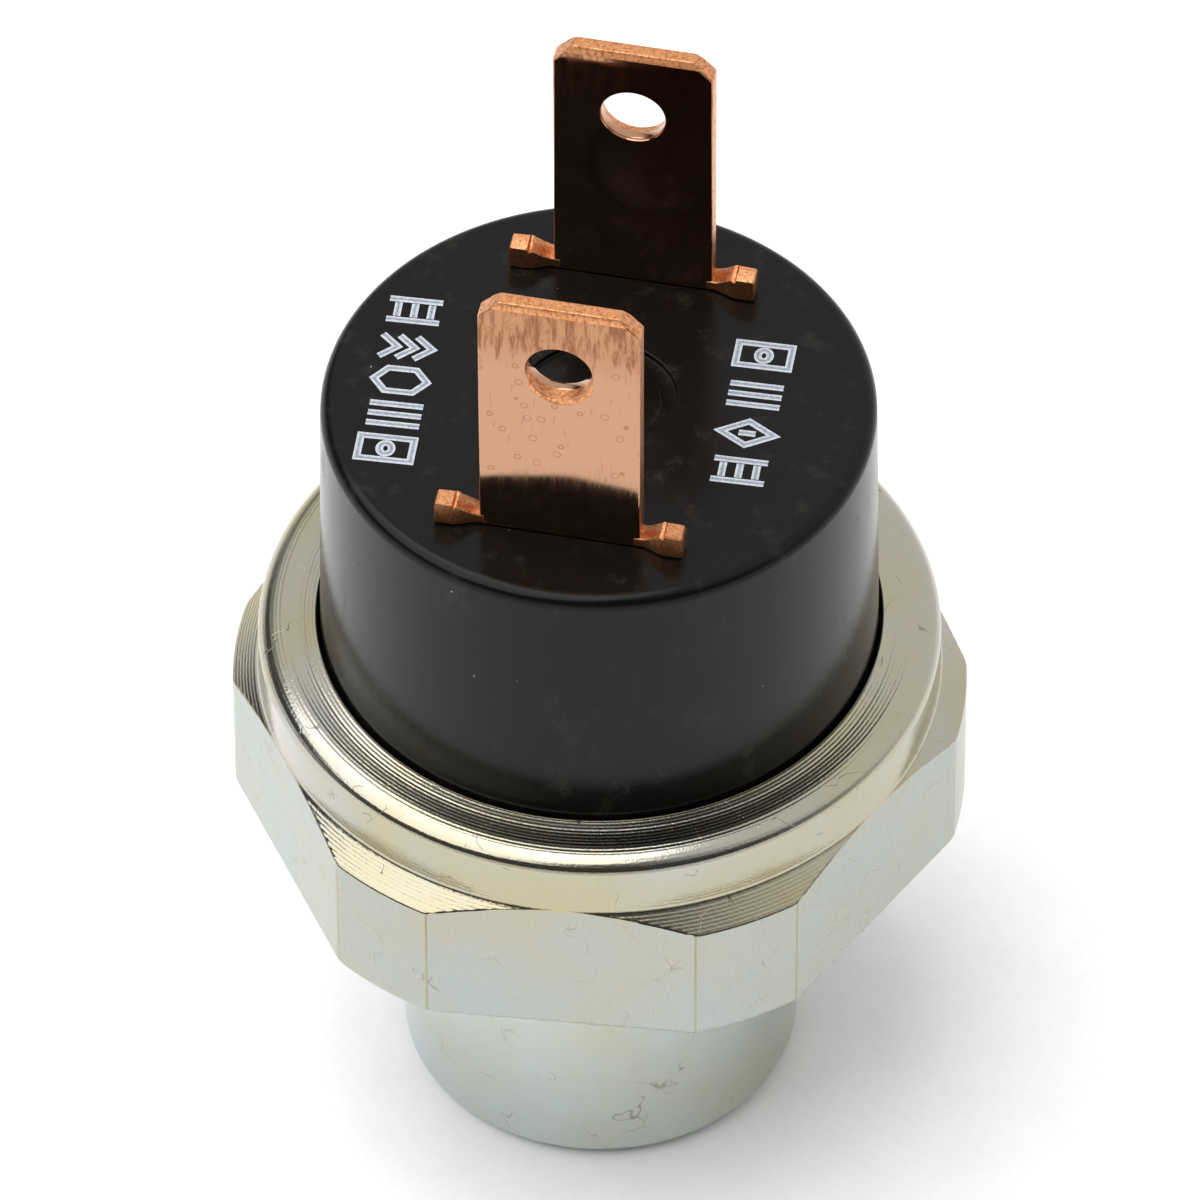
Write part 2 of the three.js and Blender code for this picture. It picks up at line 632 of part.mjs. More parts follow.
/** The moulded seat between bridge and spring: a spigot in the bridge, a flange and a pilot. */
function springSeat() {
  const spigot = SEAT_SPIGOT_DIAMETER / 2;
  const flange = SEAT_FLANGE_DIAMETER / 2;
  const pilot = SPRING_PILOT_DIAMETER / 2;
  const profile = [
    [0, seatBottom],
    [spigot, seatBottom],
    [spigot, seatFlangeBottom],
    [flange, seatFlangeBottom],
    [flange, seatFlangeTop],
    [pilot, seatFlangeTop],
    [pilot, seatFlangeTop + SEAT_PILOT_LENGTH],
    [0, seatFlangeTop + SEAT_PILOT_LENGTH],
  ];
  return piece("spring_seat", turned(profile, SMALL_ROUND), nylon());
}

/** The centre line of the spring: closed turns at both ends and open turns between. */
class SpringLine extends THREE.Curve {
  getPoint(share, target = new THREE.Vector3()) {
    const turns = 2 * SPRING_CLOSED_TURNS + SPRING_ACTIVE_TURNS;
    const bottom = springBottom + SPRING_WIRE / 2;
    const rise = springTop - springBottom - SPRING_WIRE;
    const closedRise = SPRING_CLOSED_TURNS * SPRING_CLOSED_PITCH;
    const activePitch = (rise - 2 * closedRise) / SPRING_ACTIVE_TURNS;
    const turn = share * turns;
    const active = THREE.MathUtils.clamp(turn - SPRING_CLOSED_TURNS, 0, SPRING_ACTIVE_TURNS);
    const height = bottom + (turn - active) * SPRING_CLOSED_PITCH + active * activePitch;
    const angle = 2 * Math.PI * turn;
    return target.set(springMeanRadius * Math.cos(angle), springMeanRadius * Math.sin(angle), height);
  }
}

function returnSpring() {
  const wire = new THREE.Shape();
  for (let i = 0; i < SPRING_FACETS; i++) {
    const angle = (2 * Math.PI * i) / SPRING_FACETS;
    const [x, y] = [(SPRING_WIRE / 2) * Math.cos(angle), (SPRING_WIRE / 2) * Math.sin(angle)];
    if (i === 0) wire.moveTo(x, y);
    else wire.lineTo(x, y);
  }
  const steps = SPRING_STEPS_PER_TURN * (2 * SPRING_CLOSED_TURNS + SPRING_ACTIVE_TURNS);
  const extrusion = { steps, extrudePath: new SpringLine(), bevelEnabled: false };
  return piece("return_spring", new THREE.ExtrudeGeometry(wire, extrusion), springSteel());
}

// ---------------------------------------------------------------- assembly

/** Everything that is clocked with the terminals. */
function switchHead() {
  const head = new THREE.Group();
  head.rotation.z = radians(TERMINAL_CLOCKING);
  head.add(
    terminalBase(),
    terminal("terminal_front", -1),
    terminal("terminal_rear", 1),
    contactRivet("fixed_contact_front", -1, footTop + LAYER_GAP, false),
    contactRivet("fixed_contact_rear", 1, footTop + LAYER_GAP, false),
    contactBridge(),
    contactRivet("moving_contact_front", -1, movingContactBottom, true),
    contactRivet("moving_contact_rear", 1, movingContactBottom, true),
    springSeat(),
    returnSpring(),
  );
  return head;
}

const pressureSwitch = new THREE.Group();
pressureSwitch.add(
  hexBody(),
  inletSnubber(),
  diaphragmSealRing(),
  diaphragm(),
  backingFilm(),
  pistonGuideRing(),
  pressurePiston(),
  snapDisc(),
  discRetainerRing(),
  pinGuidePlate(),
  insulatingWasher(),
  pushPin(),
  baseGasket(),
  switchHead(),
);

export default pressureSwitch;
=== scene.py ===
"""Looks of a screw-in pressure switch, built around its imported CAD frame.

Sizes in the classes are millimetres and become metres as each mesh is made. +Z runs up the axis
from the end of the spigot to the tips of the blades. Pieces of the head are made square to the
blades and then turned with them.
"""

import json
import logging
import math
import random
from dataclasses import dataclass
from enum import Enum, IntEnum
from typing import Any, ClassVar, Mapping, Sequence

import bmesh
import bpy
from mathutils import Matrix, Vector

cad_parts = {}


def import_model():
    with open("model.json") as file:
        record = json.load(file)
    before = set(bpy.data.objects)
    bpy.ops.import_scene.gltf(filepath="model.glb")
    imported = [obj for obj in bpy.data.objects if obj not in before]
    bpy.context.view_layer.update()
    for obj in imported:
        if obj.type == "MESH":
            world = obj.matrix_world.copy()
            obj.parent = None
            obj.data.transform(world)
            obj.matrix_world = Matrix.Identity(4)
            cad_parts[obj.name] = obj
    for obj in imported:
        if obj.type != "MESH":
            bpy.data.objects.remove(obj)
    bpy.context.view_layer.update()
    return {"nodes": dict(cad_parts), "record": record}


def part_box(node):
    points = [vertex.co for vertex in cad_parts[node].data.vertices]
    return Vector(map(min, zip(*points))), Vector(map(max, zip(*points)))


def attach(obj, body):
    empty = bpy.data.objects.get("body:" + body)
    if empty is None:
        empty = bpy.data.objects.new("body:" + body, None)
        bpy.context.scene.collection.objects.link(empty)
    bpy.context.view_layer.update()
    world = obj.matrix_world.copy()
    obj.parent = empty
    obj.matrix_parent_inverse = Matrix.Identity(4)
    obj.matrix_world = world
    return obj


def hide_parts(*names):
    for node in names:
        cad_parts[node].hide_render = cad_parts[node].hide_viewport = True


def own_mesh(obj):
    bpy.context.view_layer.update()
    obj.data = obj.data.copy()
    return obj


MM = 0.001
MICRON = 1e-6
TURN = 2 * math.pi
HOUSING = "housing"
NOISE_SPREAD = (0.3, 0.7)  # most of a noise pattern's values lie between these

Point = tuple[float, float]
Corner = tuple[float, float, float]
Socket = bpy.types.NodeSocket

log = logging.getLogger("pressure_switch")


# ---------------------------------------------------------------- colours and nodes


def linear(code: str) -> tuple[float, float, float, float]:
    """Turns an sRGB hex colour to linear light.

    Args:
        code: six hex digits, with or without the leading mark.

    Returns:
        Red, green, blue and an alpha of one.
    """
    digits = code.lstrip("#")
    channels = [int(digits[i : i + 2], 16) / 255 for i in (0, 2, 4)]
    light = [c / 12.92 if c <= 0.04045 else ((c + 0.055) / 1.055) ** 2.4 for c in channels]
    return (light[0], light[1], light[2], 1.0)


def add_node(
    tree: bpy.types.NodeTree,
    kind: str,
    settings: Mapping[str | int, Any] | None = None,
    links: Mapping[str | int, Socket] | None = None,
) -> bpy.types.Node:
    """Adds a shader node with its settings and links.

    Args:
        tree: the node tree it goes into.
        kind: the node's type, without its ShaderNode prefix.
        settings: values by input name or number; a lower-case name is a property of the node.
        links: sockets that feed its inputs, by input name or number.

    Returns:
        The new node.
    """
    node = tree.nodes.new("ShaderNode" + kind)
    for key, value in (settings or {}).items():
        if isinstance(key, str) and key.islower():
            setattr(node, key, value)
        else:
            node.inputs[key].default_value = value
    for key, source in (links or {}).items():
        tree.links.new(source, node.inputs[key])
    return node


def millimetres(tree: bpy.types.NodeTree, stretch: Sequence[float] = (1, 1, 1)) -> Socket:
    """Gives object coordinates in millimetres.

    Args:
        tree: the node tree.
        stretch: pattern cells per millimetre along each axis.

    Returns:
        The vector socket.
    """
    where = add_node(tree, "TexCoord")
    scale = [s / MM for s in stretch]
    return add_node(
        tree, "VectorMath", {"operation": "MULTIPLY", 1: scale}, {0: where.outputs["Object"]}
    ).outputs[0]


def ring_coordinates(tree: bpy.types.NodeTree, per_mm: float) -> Socket:
    """Gives (radius, height) coordinates, so that a pattern runs round the axis as tool marks do.

    Args:
        tree: the node tree.
        per_mm: pattern cells per millimetre.

    Returns:
        The vector socket.
    """
    flat = millimetres(tree, (per_mm, per_mm, 0))
    radius = add_node(tree, "VectorMath", {"operation": "LENGTH"}, {0: flat})
    split = add_node(tree, "SeparateXYZ", {}, {0: millimetres(tree, (per_mm,) * 3)})
    return add_node(
        tree, "CombineXYZ", {}, {"X": radius.outputs["Value"], "Y": split.outputs["Z"]}
    ).outputs[0]


def between(
    tree: bpy.types.NodeTree,
    value: Socket,
    source: Point,
    target: Point = (0.0, 1.0),
    smooth: bool = False,
) -> Socket:
    """Maps a value from one range to another and holds it inside.

    Args:
        tree: the node tree.
        value: the socket to map.
        source: the range it comes in.
        target: the range it goes out in.
        smooth: whether it eases in and out.

    Returns:
        The mapped socket.
    """
    settings: dict[str | int, Any] = dict(
        zip(("From Min", "From Max", "To Min", "To Max"), (*source, *target))
    )
    if smooth:
        settings["interpolation_type"] = "SMOOTHSTEP"
    return add_node(tree, "MapRange", settings, {"Value": value}).outputs[0]


def blended(
    tree: bpy.types.NodeTree, share: Socket, first: str | Socket, second: str | Socket
) -> Socket:
    """Blends two colours.

    Args:
        tree: the node tree.
        share: how much of the second colour shows.
        first: a hex colour or a colour socket.
        second: a hex colour or a colour socket.

    Returns:
        The colour socket.
    """
    settings: dict[str | int, Any] = {"data_type": "RGBA"}
    links: dict[str | int, Socket] = {0: share}
    for slot, colour in ((6, first), (7, second)):
        if isinstance(colour, str):
            settings[slot] = linear(colour)
        else:
            links[slot] = colour
    return add_node(tree, "Mix", settings, links).outputs[2]


def combined(tree: bpy.types.NodeTree, operation: str, *values: float | Socket) -> Socket:
    """Joins numbers with one arithmetic operation.

    Args:
        tree: the node tree.
        operation: the arithmetic operation's name.
        values: numbers or sockets, in order.

    Returns:
        The result's socket.
    """
    numbers = {i: v for i, v in enumerate(values) if not isinstance(v, Socket)}
    sockets = {i: v for i, v in enumerate(values) if isinstance(v, Socket)}
    return add_node(tree, "Math", {"operation": operation, **numbers}, sockets).outputs[0]


# ---------------------------------------------------------------- finishes


@dataclass(frozen=True)
class Finish:
    """One surface finish, made into a Blender material on first use."""

    label: ClassVar[str] = "finish"

    def name(self) -> str:
        """Returns the material's name."""
        return self.label

    def wire(self, tree: bpy.types.NodeTree) -> tuple[dict, dict]:
        """Adds the finish's pattern nodes and returns the shader's settings and links."""
        raise NotImplementedError

    def material(self) -> bpy.types.Material:
        """Makes the material, or finds it if it is made.

        Returns:
            The Blender material.
        """
        made = bpy.data.materials.get(self.name())
        if made is None:
            made = bpy.data.materials.new(self.name())
            made.use_nodes = True
            tree = made.node_tree
            tree.nodes.clear()
            settings, links = self.wire(tree)
            shader = add_node(tree, "BsdfPrincipled", settings, links)
            add_node(tree, "OutputMaterial", {}, {"Surface": shader.outputs[0]})
        return made


def bump(tree: bpy.types.NodeTree, height: Socket, microns: float) -> Socket:
    """Turns a height from 0 to 1 into a relief.

    Args:
        tree: the node tree.
        height: the height socket.
        microns: the relief's full depth in micrometres.

    Returns:
        The normal socket.
    """
    return add_node(
        tree, "Bump", {"Strength": 1.0, "Distance": microns * MICRON}, {"Height": height}
    ).outputs[0]


class Machining(Enum):
    """How the steel under the zinc was cut, and the two tints that its passivate shows."""

    TURNED = ("turned", "#AFAEA5", "#B2A885")
    FINE_TURNED = ("fine_turned", "#C2CBCE", "#C1C1AE")
    DRAWN = ("drawn", "#A6ADAC", "#ADAB9A")
    WORN = ("worn", "#A8A187", "#948B70")
    BORED = ("bored", "#B9B8AE", "#A59E84")

    @property
    def tints(self) -> tuple[str, str]:
        """Returns the cool tint and the straw tint."""
        return self.value[1], self.value[2]


@dataclass(frozen=True)
class ZincPlate(Finish):
    """Steel, electroplated with bright zinc and clear passivated.

    The thin passivate gives cool grey that drifts to straw yellow, with faint stains. The plating
    is glossy but a little pebbled, so the edges of its reflections break up; handling leaves short
    curved scratches.
    """

    machining: Machining = Machining.TURNED
    stain: str = "#A39C84"
    scratch: str = "#7D7664"
    mark_pitch: float = 0.07  # fine tool marks; the deep ones are in the mesh
    drawn_pitch: float = 0.12  # lines left along the bar by the drawing die
    tint_size: float = 5.0
    stain_size: float = 1.1
    pebble: float = 0.11
    scratch_size: float = 3.1
    scratch_width: float = 0.022
    scratch_bend: float = 2.6  # how far a scratch strays from straight
    scratch_patches: Point = (0.55, 0.62)  # cut of the patches that scratches keep to
    scratch_strength: float = 0.6
    stain_cut: Point = (0.58, 0.76)
    stain_strength: float = 0.4
    drawn_gloss: Point = (0.26, 0.3)  # dull along the bar
    cut_gloss: Point = (0.11, 0.19)
    drawn_microns: float = 0.8
    cut_microns: float = 7.0

    def name(self) -> str:
        """Returns the material's name."""
        return f"zinc_plated_steel_{self.machining.value[0]}"

    def scratches(self, tree: bpy.types.NodeTree) -> Socket:
        """Draws a few short curved scratches.

        Args:
            tree: the material's node tree.

        Returns:
            How deep in a scratch each point is, from 0 to 1.
        """
        where = millimetres(tree)
        bend = add_node(tree, "TexNoise", {"Scale": 0.5, "Detail": 2.0}, {"Vector": where})
        bent = add_node(
            tree,
            "VectorMath",
            {"operation": "MULTIPLY_ADD", 1: (self.scratch_bend,) * 3},
            {0: bend.outputs["Color"], 2: where},
        ).outputs[0]
        cells = add_node(
            tree,
            "TexVoronoi",
            {"feature": "DISTANCE_TO_EDGE", "Scale": 1 / self.scratch_size},
            {"Vector": bent},
        ).outputs["Distance"]
        width = self.scratch_width / self.scratch_size
        line = between(tree, cells, (width * 0.3, width), (1.0, 0.0))
        patches = add_node(
            tree, "TexNoise", {"Scale": 0.75, "Detail": 2.0}, {"Vector": where}
        ).outputs[0]
        return combined(tree, "MULTIPLY", line, between(tree, patches, self.scratch_patches))

    def wire(self, tree: bpy.types.NodeTree) -> tuple[dict, dict]:
        """Adds tints, stains, scratches and tool marks.

        Args:
            tree: the material's node tree.

        Returns:
            The shader's settings and links.
        """
        drawn = self.machining is Machining.DRAWN
        where = millimetres(tree)
        tint = add_node(
            tree, "TexNoise", {"Scale": 1 / self.tint_size, "Detail": 3.0}, {"Vector": where}
        ).outputs[0]
        stain = add_node(
            tree,
            "TexNoise",
            {"Scale": 1 / self.stain_size, "Detail": 6.0, "Roughness": 0.65, "Distortion": 0.6},
            {"Vector": where},
        ).outputs[0]
        pebbles = add_node(
            tree, "TexNoise", {"Scale": 1 / self.pebble, "Detail": 2.0}, {"Vector": where}
        ).outputs[0]
        if drawn:
            lines_at = millimetres(tree, (1 / self.drawn_pitch, 1 / self.drawn_pitch, 0.4))
        else:
            lines_at = ring_coordinates(tree, 1 / self.mark_pitch)
        lines = add_node(
            tree, "TexNoise", {"Scale": 1.0, "Detail": 3.0, "Roughness": 0.6}, {"Vector": lines_at}
        ).outputs[0]
        scratched = self.scratches(tree)
        colour = blended(tree, between(tree, tint, (0.3, 0.75)), *self.machining.tints)
        stained = between(tree, stain, self.stain_cut, (0.0, self.stain_strength), smooth=True)
        colour = blended(tree, stained, colour, self.stain)
        faint = combined(tree, "MULTIPLY", scratched, self.scratch_strength)
        colour = blended(tree, faint, colour, self.scratch)
        gloss = self.drawn_gloss if drawn else self.cut_gloss
        rough = between(tree, lines, NOISE_SPREAD, gloss)
        rough = combined(tree, "MULTIPLY_ADD", stained, 0.25, rough)
        marks = combined(tree, "MULTIPLY", lines, 0.4)
        relief = combined(tree, "MULTIPLY_ADD", pebbles, 0.9, marks)
        relief = combined(tree, "SUBTRACT", relief, combined(tree, "MULTIPLY", scratched, 0.8))
        settings = {"Metallic": 1.0}
        links = {
            "Base Color": colour,
            "Roughness": rough,
            "Normal": bump(tree, relief, self.drawn_microns if drawn else self.cut_microns),
        }
        return settings, links


@dataclass(frozen=True)
class RolledCopper(Finish):
    """Copper strip as it left the polished rolls, handled and a little tarnished.

    The broad faces are almost mirrors, with fine lines along the strip, brown smears from the
    press and small rings where droplets dried.
    """

    label: ClassVar[str] = "rolled_copper_strip"
    clean: str = "#B88E71"
    handled: str = "#AF7853"
    tarnish: str = "#744429"
    ring: str = "#93603F"
    smear_width: float = 0.17
    smear_length: float = 1.1
    smear_from: float = 44.4  # smears thicken above this height
    smear_full: float = 46.6
    droplet_pitch: float = 0.8
    droplet_radius: float = 0.15
    droplet_rim: float = 0.035
    line_pitch: float = 0.09
    smear_cut: Point = (0.6, 0.82)
    smear_strength: float = 0.7
    ring_strength: float = 0.75
    gloss: Point = (0.07, 0.13)
    microns: float = 25.0

    def wire(self, tree: bpy.types.NodeTree) -> tuple[dict, dict]:
        """Adds smears, droplet rings and rolling lines.

        Args:
            tree: the material's node tree.

        Returns:
            The shader's settings and links.
        """
        where = millimetres(tree)
        height = add_node(tree, "SeparateXYZ", {}, {0: where}).outputs["Z"]
        smear = add_node(
            tree,
            "TexNoise",
            {"Scale": 1.0, "Detail": 5.0, "Roughness": 0.6},
            {"Vector": millimetres(tree, (1 / self.smear_width, 0.2, 1 / self.smear_length))},
        ).outputs[0]
        upper = between(tree, height, (self.smear_from, self.smear_full), smooth=True)
        cut = combined(tree, "MULTIPLY_ADD", upper, 0.2, smear)
        smeared = between(tree, cut, self.smear_cut, (0.0, self.smear_strength), smooth=True)
        drops = add_node(
            tree,
            "TexVoronoi",
            {"Scale": 1 / self.droplet_pitch, "Randomness": 1.0},
            {"Vector": where},
        )
        far = combined(tree, "MULTIPLY", drops.outputs["Distance"], self.droplet_pitch)
        off = combined(tree, "ABSOLUTE", combined(tree, "SUBTRACT", far, self.droplet_radius))
        ringed = between(
            tree, off, (0.0, self.droplet_rim), (self.ring_strength, 0.0), smooth=True
        )
        lines = add_node(
            tree,
            "TexNoise",
            {"Scale": 1.0, "Detail": 4.0},
            {"Vector": millimetres(tree, (1 / self.line_pitch, 1 / self.line_pitch, 0.25))},
        ).outputs[0]
        waves = add_node(
            tree, "TexNoise", {"Scale": 0.35, "Detail": 1.0}, {"Vector": where}
        ).outputs[0]
        handled = combined(tree, "MULTIPLY", upper, 0.55)
        colour = blended(tree, handled, self.clean, self.handled)
        colour = blended(tree, smeared, colour, self.tarnish)
        colour = blended(tree, ringed, colour, self.ring)
        rough = between(tree, lines, NOISE_SPREAD, self.gloss)
        rough = combined(tree, "MULTIPLY_ADD", smeared, 0.12, rough)
        relief = combined(tree, "MULTIPLY_ADD", lines, 0.02, waves)
        settings = {"Metallic": 1.0}
        links = {
            "Base Color": colour,
            "Roughness": rough,
            "Normal": bump(tree, relief, self.microns),
        }
        return settings, links


@dataclass(frozen=True)
class ShearedCopper(Finish):
    """The edges of the strip, where the press sheared and coined it.

    The torn metal is rougher and more orange than the rolled faces, with striations across it.
    """

    label: ClassVar[str] = "sheared_copper_edge"
    bright: str = "#DE9F71"
    deep: str = "#A95F31"
    striation: float = 0.12
    torn_cut: Point = (0.42, 0.68)
    gloss: Point = (0.26, 0.48)
    microns: float = 22.0

    def wire(self, tree: bpy.types.NodeTree) -> tuple[dict, dict]:
        """Adds striations and torn grain.

        Args:
            tree: the material's node tree.

        Returns:
            The shader's settings and links.
        """
        grain = add_node(
            tree,
            "TexNoise",
            {"Scale": 1 / self.striation, "Detail": 5.0, "Roughness": 0.7, "Distortion": 0.5},
            {"Vector": millimetres(tree, (1.0, 1.0, 0.45))},
        ).outputs[0]
        torn = between(tree, grain, self.torn_cut, smooth=True)
        colour = blended(tree, torn, self.bright, self.deep)
        rough = between(tree, grain, NOISE_SPREAD, self.gloss)
        settings = {"Metallic": 1.0}
        links = {
            "Base Color": colour,
            "Roughness": rough,
            "Normal": bump(tree, grain, self.microns),
        }
        return settings, links


@dataclass(frozen=True)
class MouldedPhenolic(Finish):
    """Black phenolic, compression moulded in a polished tool.

    Near black with a soft satin sheen, a warm grey bloom in streaks where hands and packing rubbed
    it, pinhole pits and a few specks of dust.
    """

    label: ClassVar[str] = "moulded_black_phenolic"
    body: str = "#0B0A09"
    bloom: str = "#2A2723"
    dust: str = "#B8B6B0"
    bloom_size: float = 1.4
    pit_pitch: float = 0.55
    dust_pitch: float = 0.9
    dust_radius: float = 0.035
    dust_free: float = 0.8  # share of the cells that hold no speck
    texture_per_mm: float = 9.0
    bloom_cut: Point = (0.52, 0.74)
    bloom_strength: float = 0.6
    pit_edge: float = 0.08  # of a cell, from a pit's middle to its rim
    gloss: Point = (0.16, 0.24)
    microns: float = 6.0

    def wire(self, tree: bpy.types.NodeTree) -> tuple[dict, dict]:
        """Adds bloom, pits and dust.

        Args:
            tree: the material's node tree.

        Returns:
            The shader's settings and links.
        """
        where = millimetres(tree)
        bloom = add_node(
            tree,
            "TexNoise",
            {"Scale": 1 / self.bloom_size, "Detail": 7.0, "Roughness": 0.7},
            {"Vector": millimetres(tree, (1.0, 1.0, 0.55))},
        ).outputs[0]
        bloomed = between(tree, bloom, self.bloom_cut, smooth=True)
        pits = add_node(tree, "TexVoronoi", {"Scale": 1 / self.pit_pitch}, {"Vector": where})
        pitted = between(tree, pits.outputs["Distance"], (0.0, self.pit_edge))
        dust = add_node(tree, "TexVoronoi", {"Scale": 1 / self.dust_pitch}, {"Vector": where})
        speck = between(
            tree,
            combined(tree, "MULTIPLY", dust.outputs["Distance"], self.dust_pitch),
            (self.dust_radius * 0.5, self.dust_radius),
            (1.0, 0.0),
        )
        split = add_node(tree, "SeparateXYZ", {}, {0: dust.outputs["Color"]})
        rare = combined(tree, "GREATER_THAN", split.outputs["X"], self.dust_free)
        speck = combined(tree, "MULTIPLY", speck, rare)
        texture = add_node(
            tree, "TexNoise", {"Scale": self.texture_per_mm, "Detail": 3.0}, {"Vector": where}
        ).outputs[0]
        faint = combined(tree, "MULTIPLY", bloomed, self.bloom_strength)
        colour = blended(tree, faint, self.body, self.bloom)
        colour = blended(tree, speck, colour, self.dust)
        satin = between(tree, texture, NOISE_SPREAD, self.gloss)
        rough = combined(tree, "MULTIPLY_ADD", bloomed, 0.14, satin)
        relief = combined(tree, "MULTIPLY_ADD", texture, 0.12, pitted)
        settings = {"Metallic": 0.0, "IOR": 1.5, "Specular IOR Level": 0.17}
        links = {
            "Base Color": colour,
            "Roughness": rough,
            "Normal": bump(tree, relief, self.microns),
        }
        return settings, links


@dataclass(frozen=True)
class StampingInk(Finish):
    """Pale grey ink laid down by a rubber stamp.

    The stamp squeezes ink to the edges of each stroke, so they are whiter than the thin, broken
    middle where the black shows through.
    """

    label: ClassVar[str] = "stamped_grey_ink"
    thin: str = "#70757F"
    thick: str = "#B9BEC8"
    gap_size: float = 0.12
    microns: float = 6.0

    def wire(self, tree: bpy.types.NodeTree) -> tuple[dict, dict]:
        """Adds the thick edges and the broken middle.

        Args:
            tree: the material's node tree.

        Returns:
            The shader's settings and links.
        """
        edge = add_node(tree, "Attribute", {"attribute_name": StampedMarks.EDGE}).outputs["Fac"]
        gaps = add_node(
            tree,
            "TexNoise",
            {"Scale": 1 / self.gap_size, "Detail": 4.0, "Roughness": 0.7},
            {"Vector": millimetres(tree)},
        ).outputs[0]
        share = combined(tree, "ADD", between(tree, gaps, (0.35, 0.7), (-0.3, 0.35)), edge)
        colour = blended(tree, between(tree, share, (0.0, 1.0)), self.thin, self.thick)
        settings = {"Roughness": 0.55, "IOR": 1.48}
        return settings, {"Base Color": colour, "Normal": bump(tree, gaps, self.microns)}


@dataclass(frozen=True)
class PlainFinish(Finish):
    """A finish of one material with grain in its colour, gloss and relief.

    The fields are what the eye gets of it: two shades of its colour, the size of its grain, how far
    its gloss varies and how deep its relief is.
    """

    material_name: str = "plain"
    light: str = "#808080"
    dark: str = "#606060"
    grain: float = 0.3
    stretch: tuple[float, float, float] = (1.0, 1.0, 1.0)
    gloss: Point = (0.3, 0.4)
    microns: float = 5.0
    metallic: float = 0.0
    ior: float = 1.5
    rings: bool = False

    def name(self) -> str:
        """Returns the material's name."""
        return self.material_name

    def wire(self, tree: bpy.types.NodeTree) -> tuple[dict, dict]:
        """Adds the grain.

        Args:
            tree: the material's node tree.

        Returns:
            The shader's settings and links.
        """
        if self.rings:
            where = ring_coordinates(tree, 1 / self.grain)
        else:
            where = millimetres(tree, tuple(s / self.grain for s in self.stretch))
        grain = add_node(
            tree, "TexNoise", {"Scale": 1.0, "Detail": 5.0, "Roughness": 0.6}, {"Vector": where}
        ).outputs[0]
        blot = add_node(
            tree, "TexNoise", {"Scale": 0.4, "Detail": 3.0}, {"Vector": millimetres(tree)}
        ).outputs[0]
        half = combined(tree, "MULTIPLY", grain, 0.5)
        mixed = combined(tree, "MULTIPLY_ADD", blot, 0.5, half)
        shade = between(tree, mixed, (0.38, 0.62), smooth=True)
        colour = blended(tree, shade, self.dark, self.light)
        settings: dict[str | int, Any] = {"Metallic": self.metallic}
        if not self.metallic:
            settings["IOR"] = self.ior
        links = {
            "Base Color": colour,
            "Roughness": between(tree, grain, NOISE_SPREAD, self.gloss),
            "Normal": bump(tree, grain, self.microns),
        }
        return settings, links


TURNED_ZINC = ZincPlate(machining=Machining.TURNED)
FINE_ZINC = ZincPlate(machining=Machining.FINE_TURNED)
DRAWN_ZINC = ZincPlate(machining=Machining.DRAWN)
WORN_ZINC = ZincPlate(machining=Machining.WORN)
BORED_ZINC = ZincPlate(machining=Machining.BORED)
COPPER = RolledCopper()
SHEARED = ShearedCopper()
PHENOLIC = MouldedPhenolic()
INK = StampingInk()
# Hardened strip and wire: blue-grey, bright, with faint rolling lines.
SPRING_STEEL = PlainFinish("rolled_spring_steel", "#B9BEC1", "#93979A", 0.12, gloss=(0.18, 0.3),
                           microns=2.0, metallic=1.0)
# Free-cutting brass off the lathe: warm yellow with fine rings.
TURNED_BRASS = PlainFinish("turned_brass", "#D8B96F", "#B8923F", 0.09, gloss=(0.2, 0.34),
                           microns=3.0, metallic=1.0, rings=True)
# Cold-headed fine silver: white, soft edged, a trace of yellow sulphide.
SILVER = PlainFinish("headed_silver_contact", "#EDECE8", "#CFC7AE", 0.25, gloss=(0.16, 0.3),
                     microns=3.0, metallic=1.0)
# Bronze powder pressed and sintered: dull brown grains with open pores between them.
SINTERED_BRONZE = PlainFinish("sintered_bronze", "#B08A52", "#6B4D28", 0.11, gloss=(0.55, 0.8),
                              microns=60.0, metallic=1.0)
# Cast polyimide film: clear amber, glossy, almost flat.
POLYIMIDE = PlainFinish("cast_polyimide_film", "#C8802C", "#A86418", 2.0, gloss=(0.12, 0.2),
                        microns=1.5, ior=1.7)
# Skived fluoropolymer film: waxy white with the knife's faint lines.
FLUOROPOLYMER = PlainFinish("skived_fluoropolymer_film", "#ECECE6", "#DADAD2", 0.3,
                            stretch=(1.0, 0.05, 1.0), gloss=(0.4, 0.5), microns=3.0, ior=1.35)
# Moulded nitrile rubber: soft black with a dry bloom.
NITRILE = PlainFinish("moulded_nitrile_rubber", "#242424", "#161616", 0.2, gloss=(0.6, 0.75),
                      microns=6.0, ior=1.52)
# Ground steatite: ivory white, finely matt.
CERAMIC = PlainFinish("ground_steatite", "#F0ECE0", "#E0DACB", 0.12, gloss=(0.3, 0.42),
                      microns=2.0, ior=1.65)
# Punched vulcanised fibre: tan card with short fibres.
FIBRE = PlainFinish("vulcanised_fibre", "#BF9F74", "#957349", 0.2, stretch=(1.0, 0.3, 1.0),
                    gloss=(0.65, 0.85), microns=10.0, ior=1.5)
# Moulded nylon: milky and satin, a little yellow.
NYLON = PlainFinish("moulded_nylon", "#E6E1D2", "#D5CFBB", 0.9, gloss=(0.4, 0.52),
                    microns=3.0, ior=1.53)
# Seamless studio paper: clean white, quite matt.
PAPER = PlainFinish("studio_paper", "#F4F4F4", "#F1F1F1", 0.4, gloss=(0.9, 1.0),
                    microns=4.0, ior=1.4)


# ---------------------------------------------------------------- mesh helpers


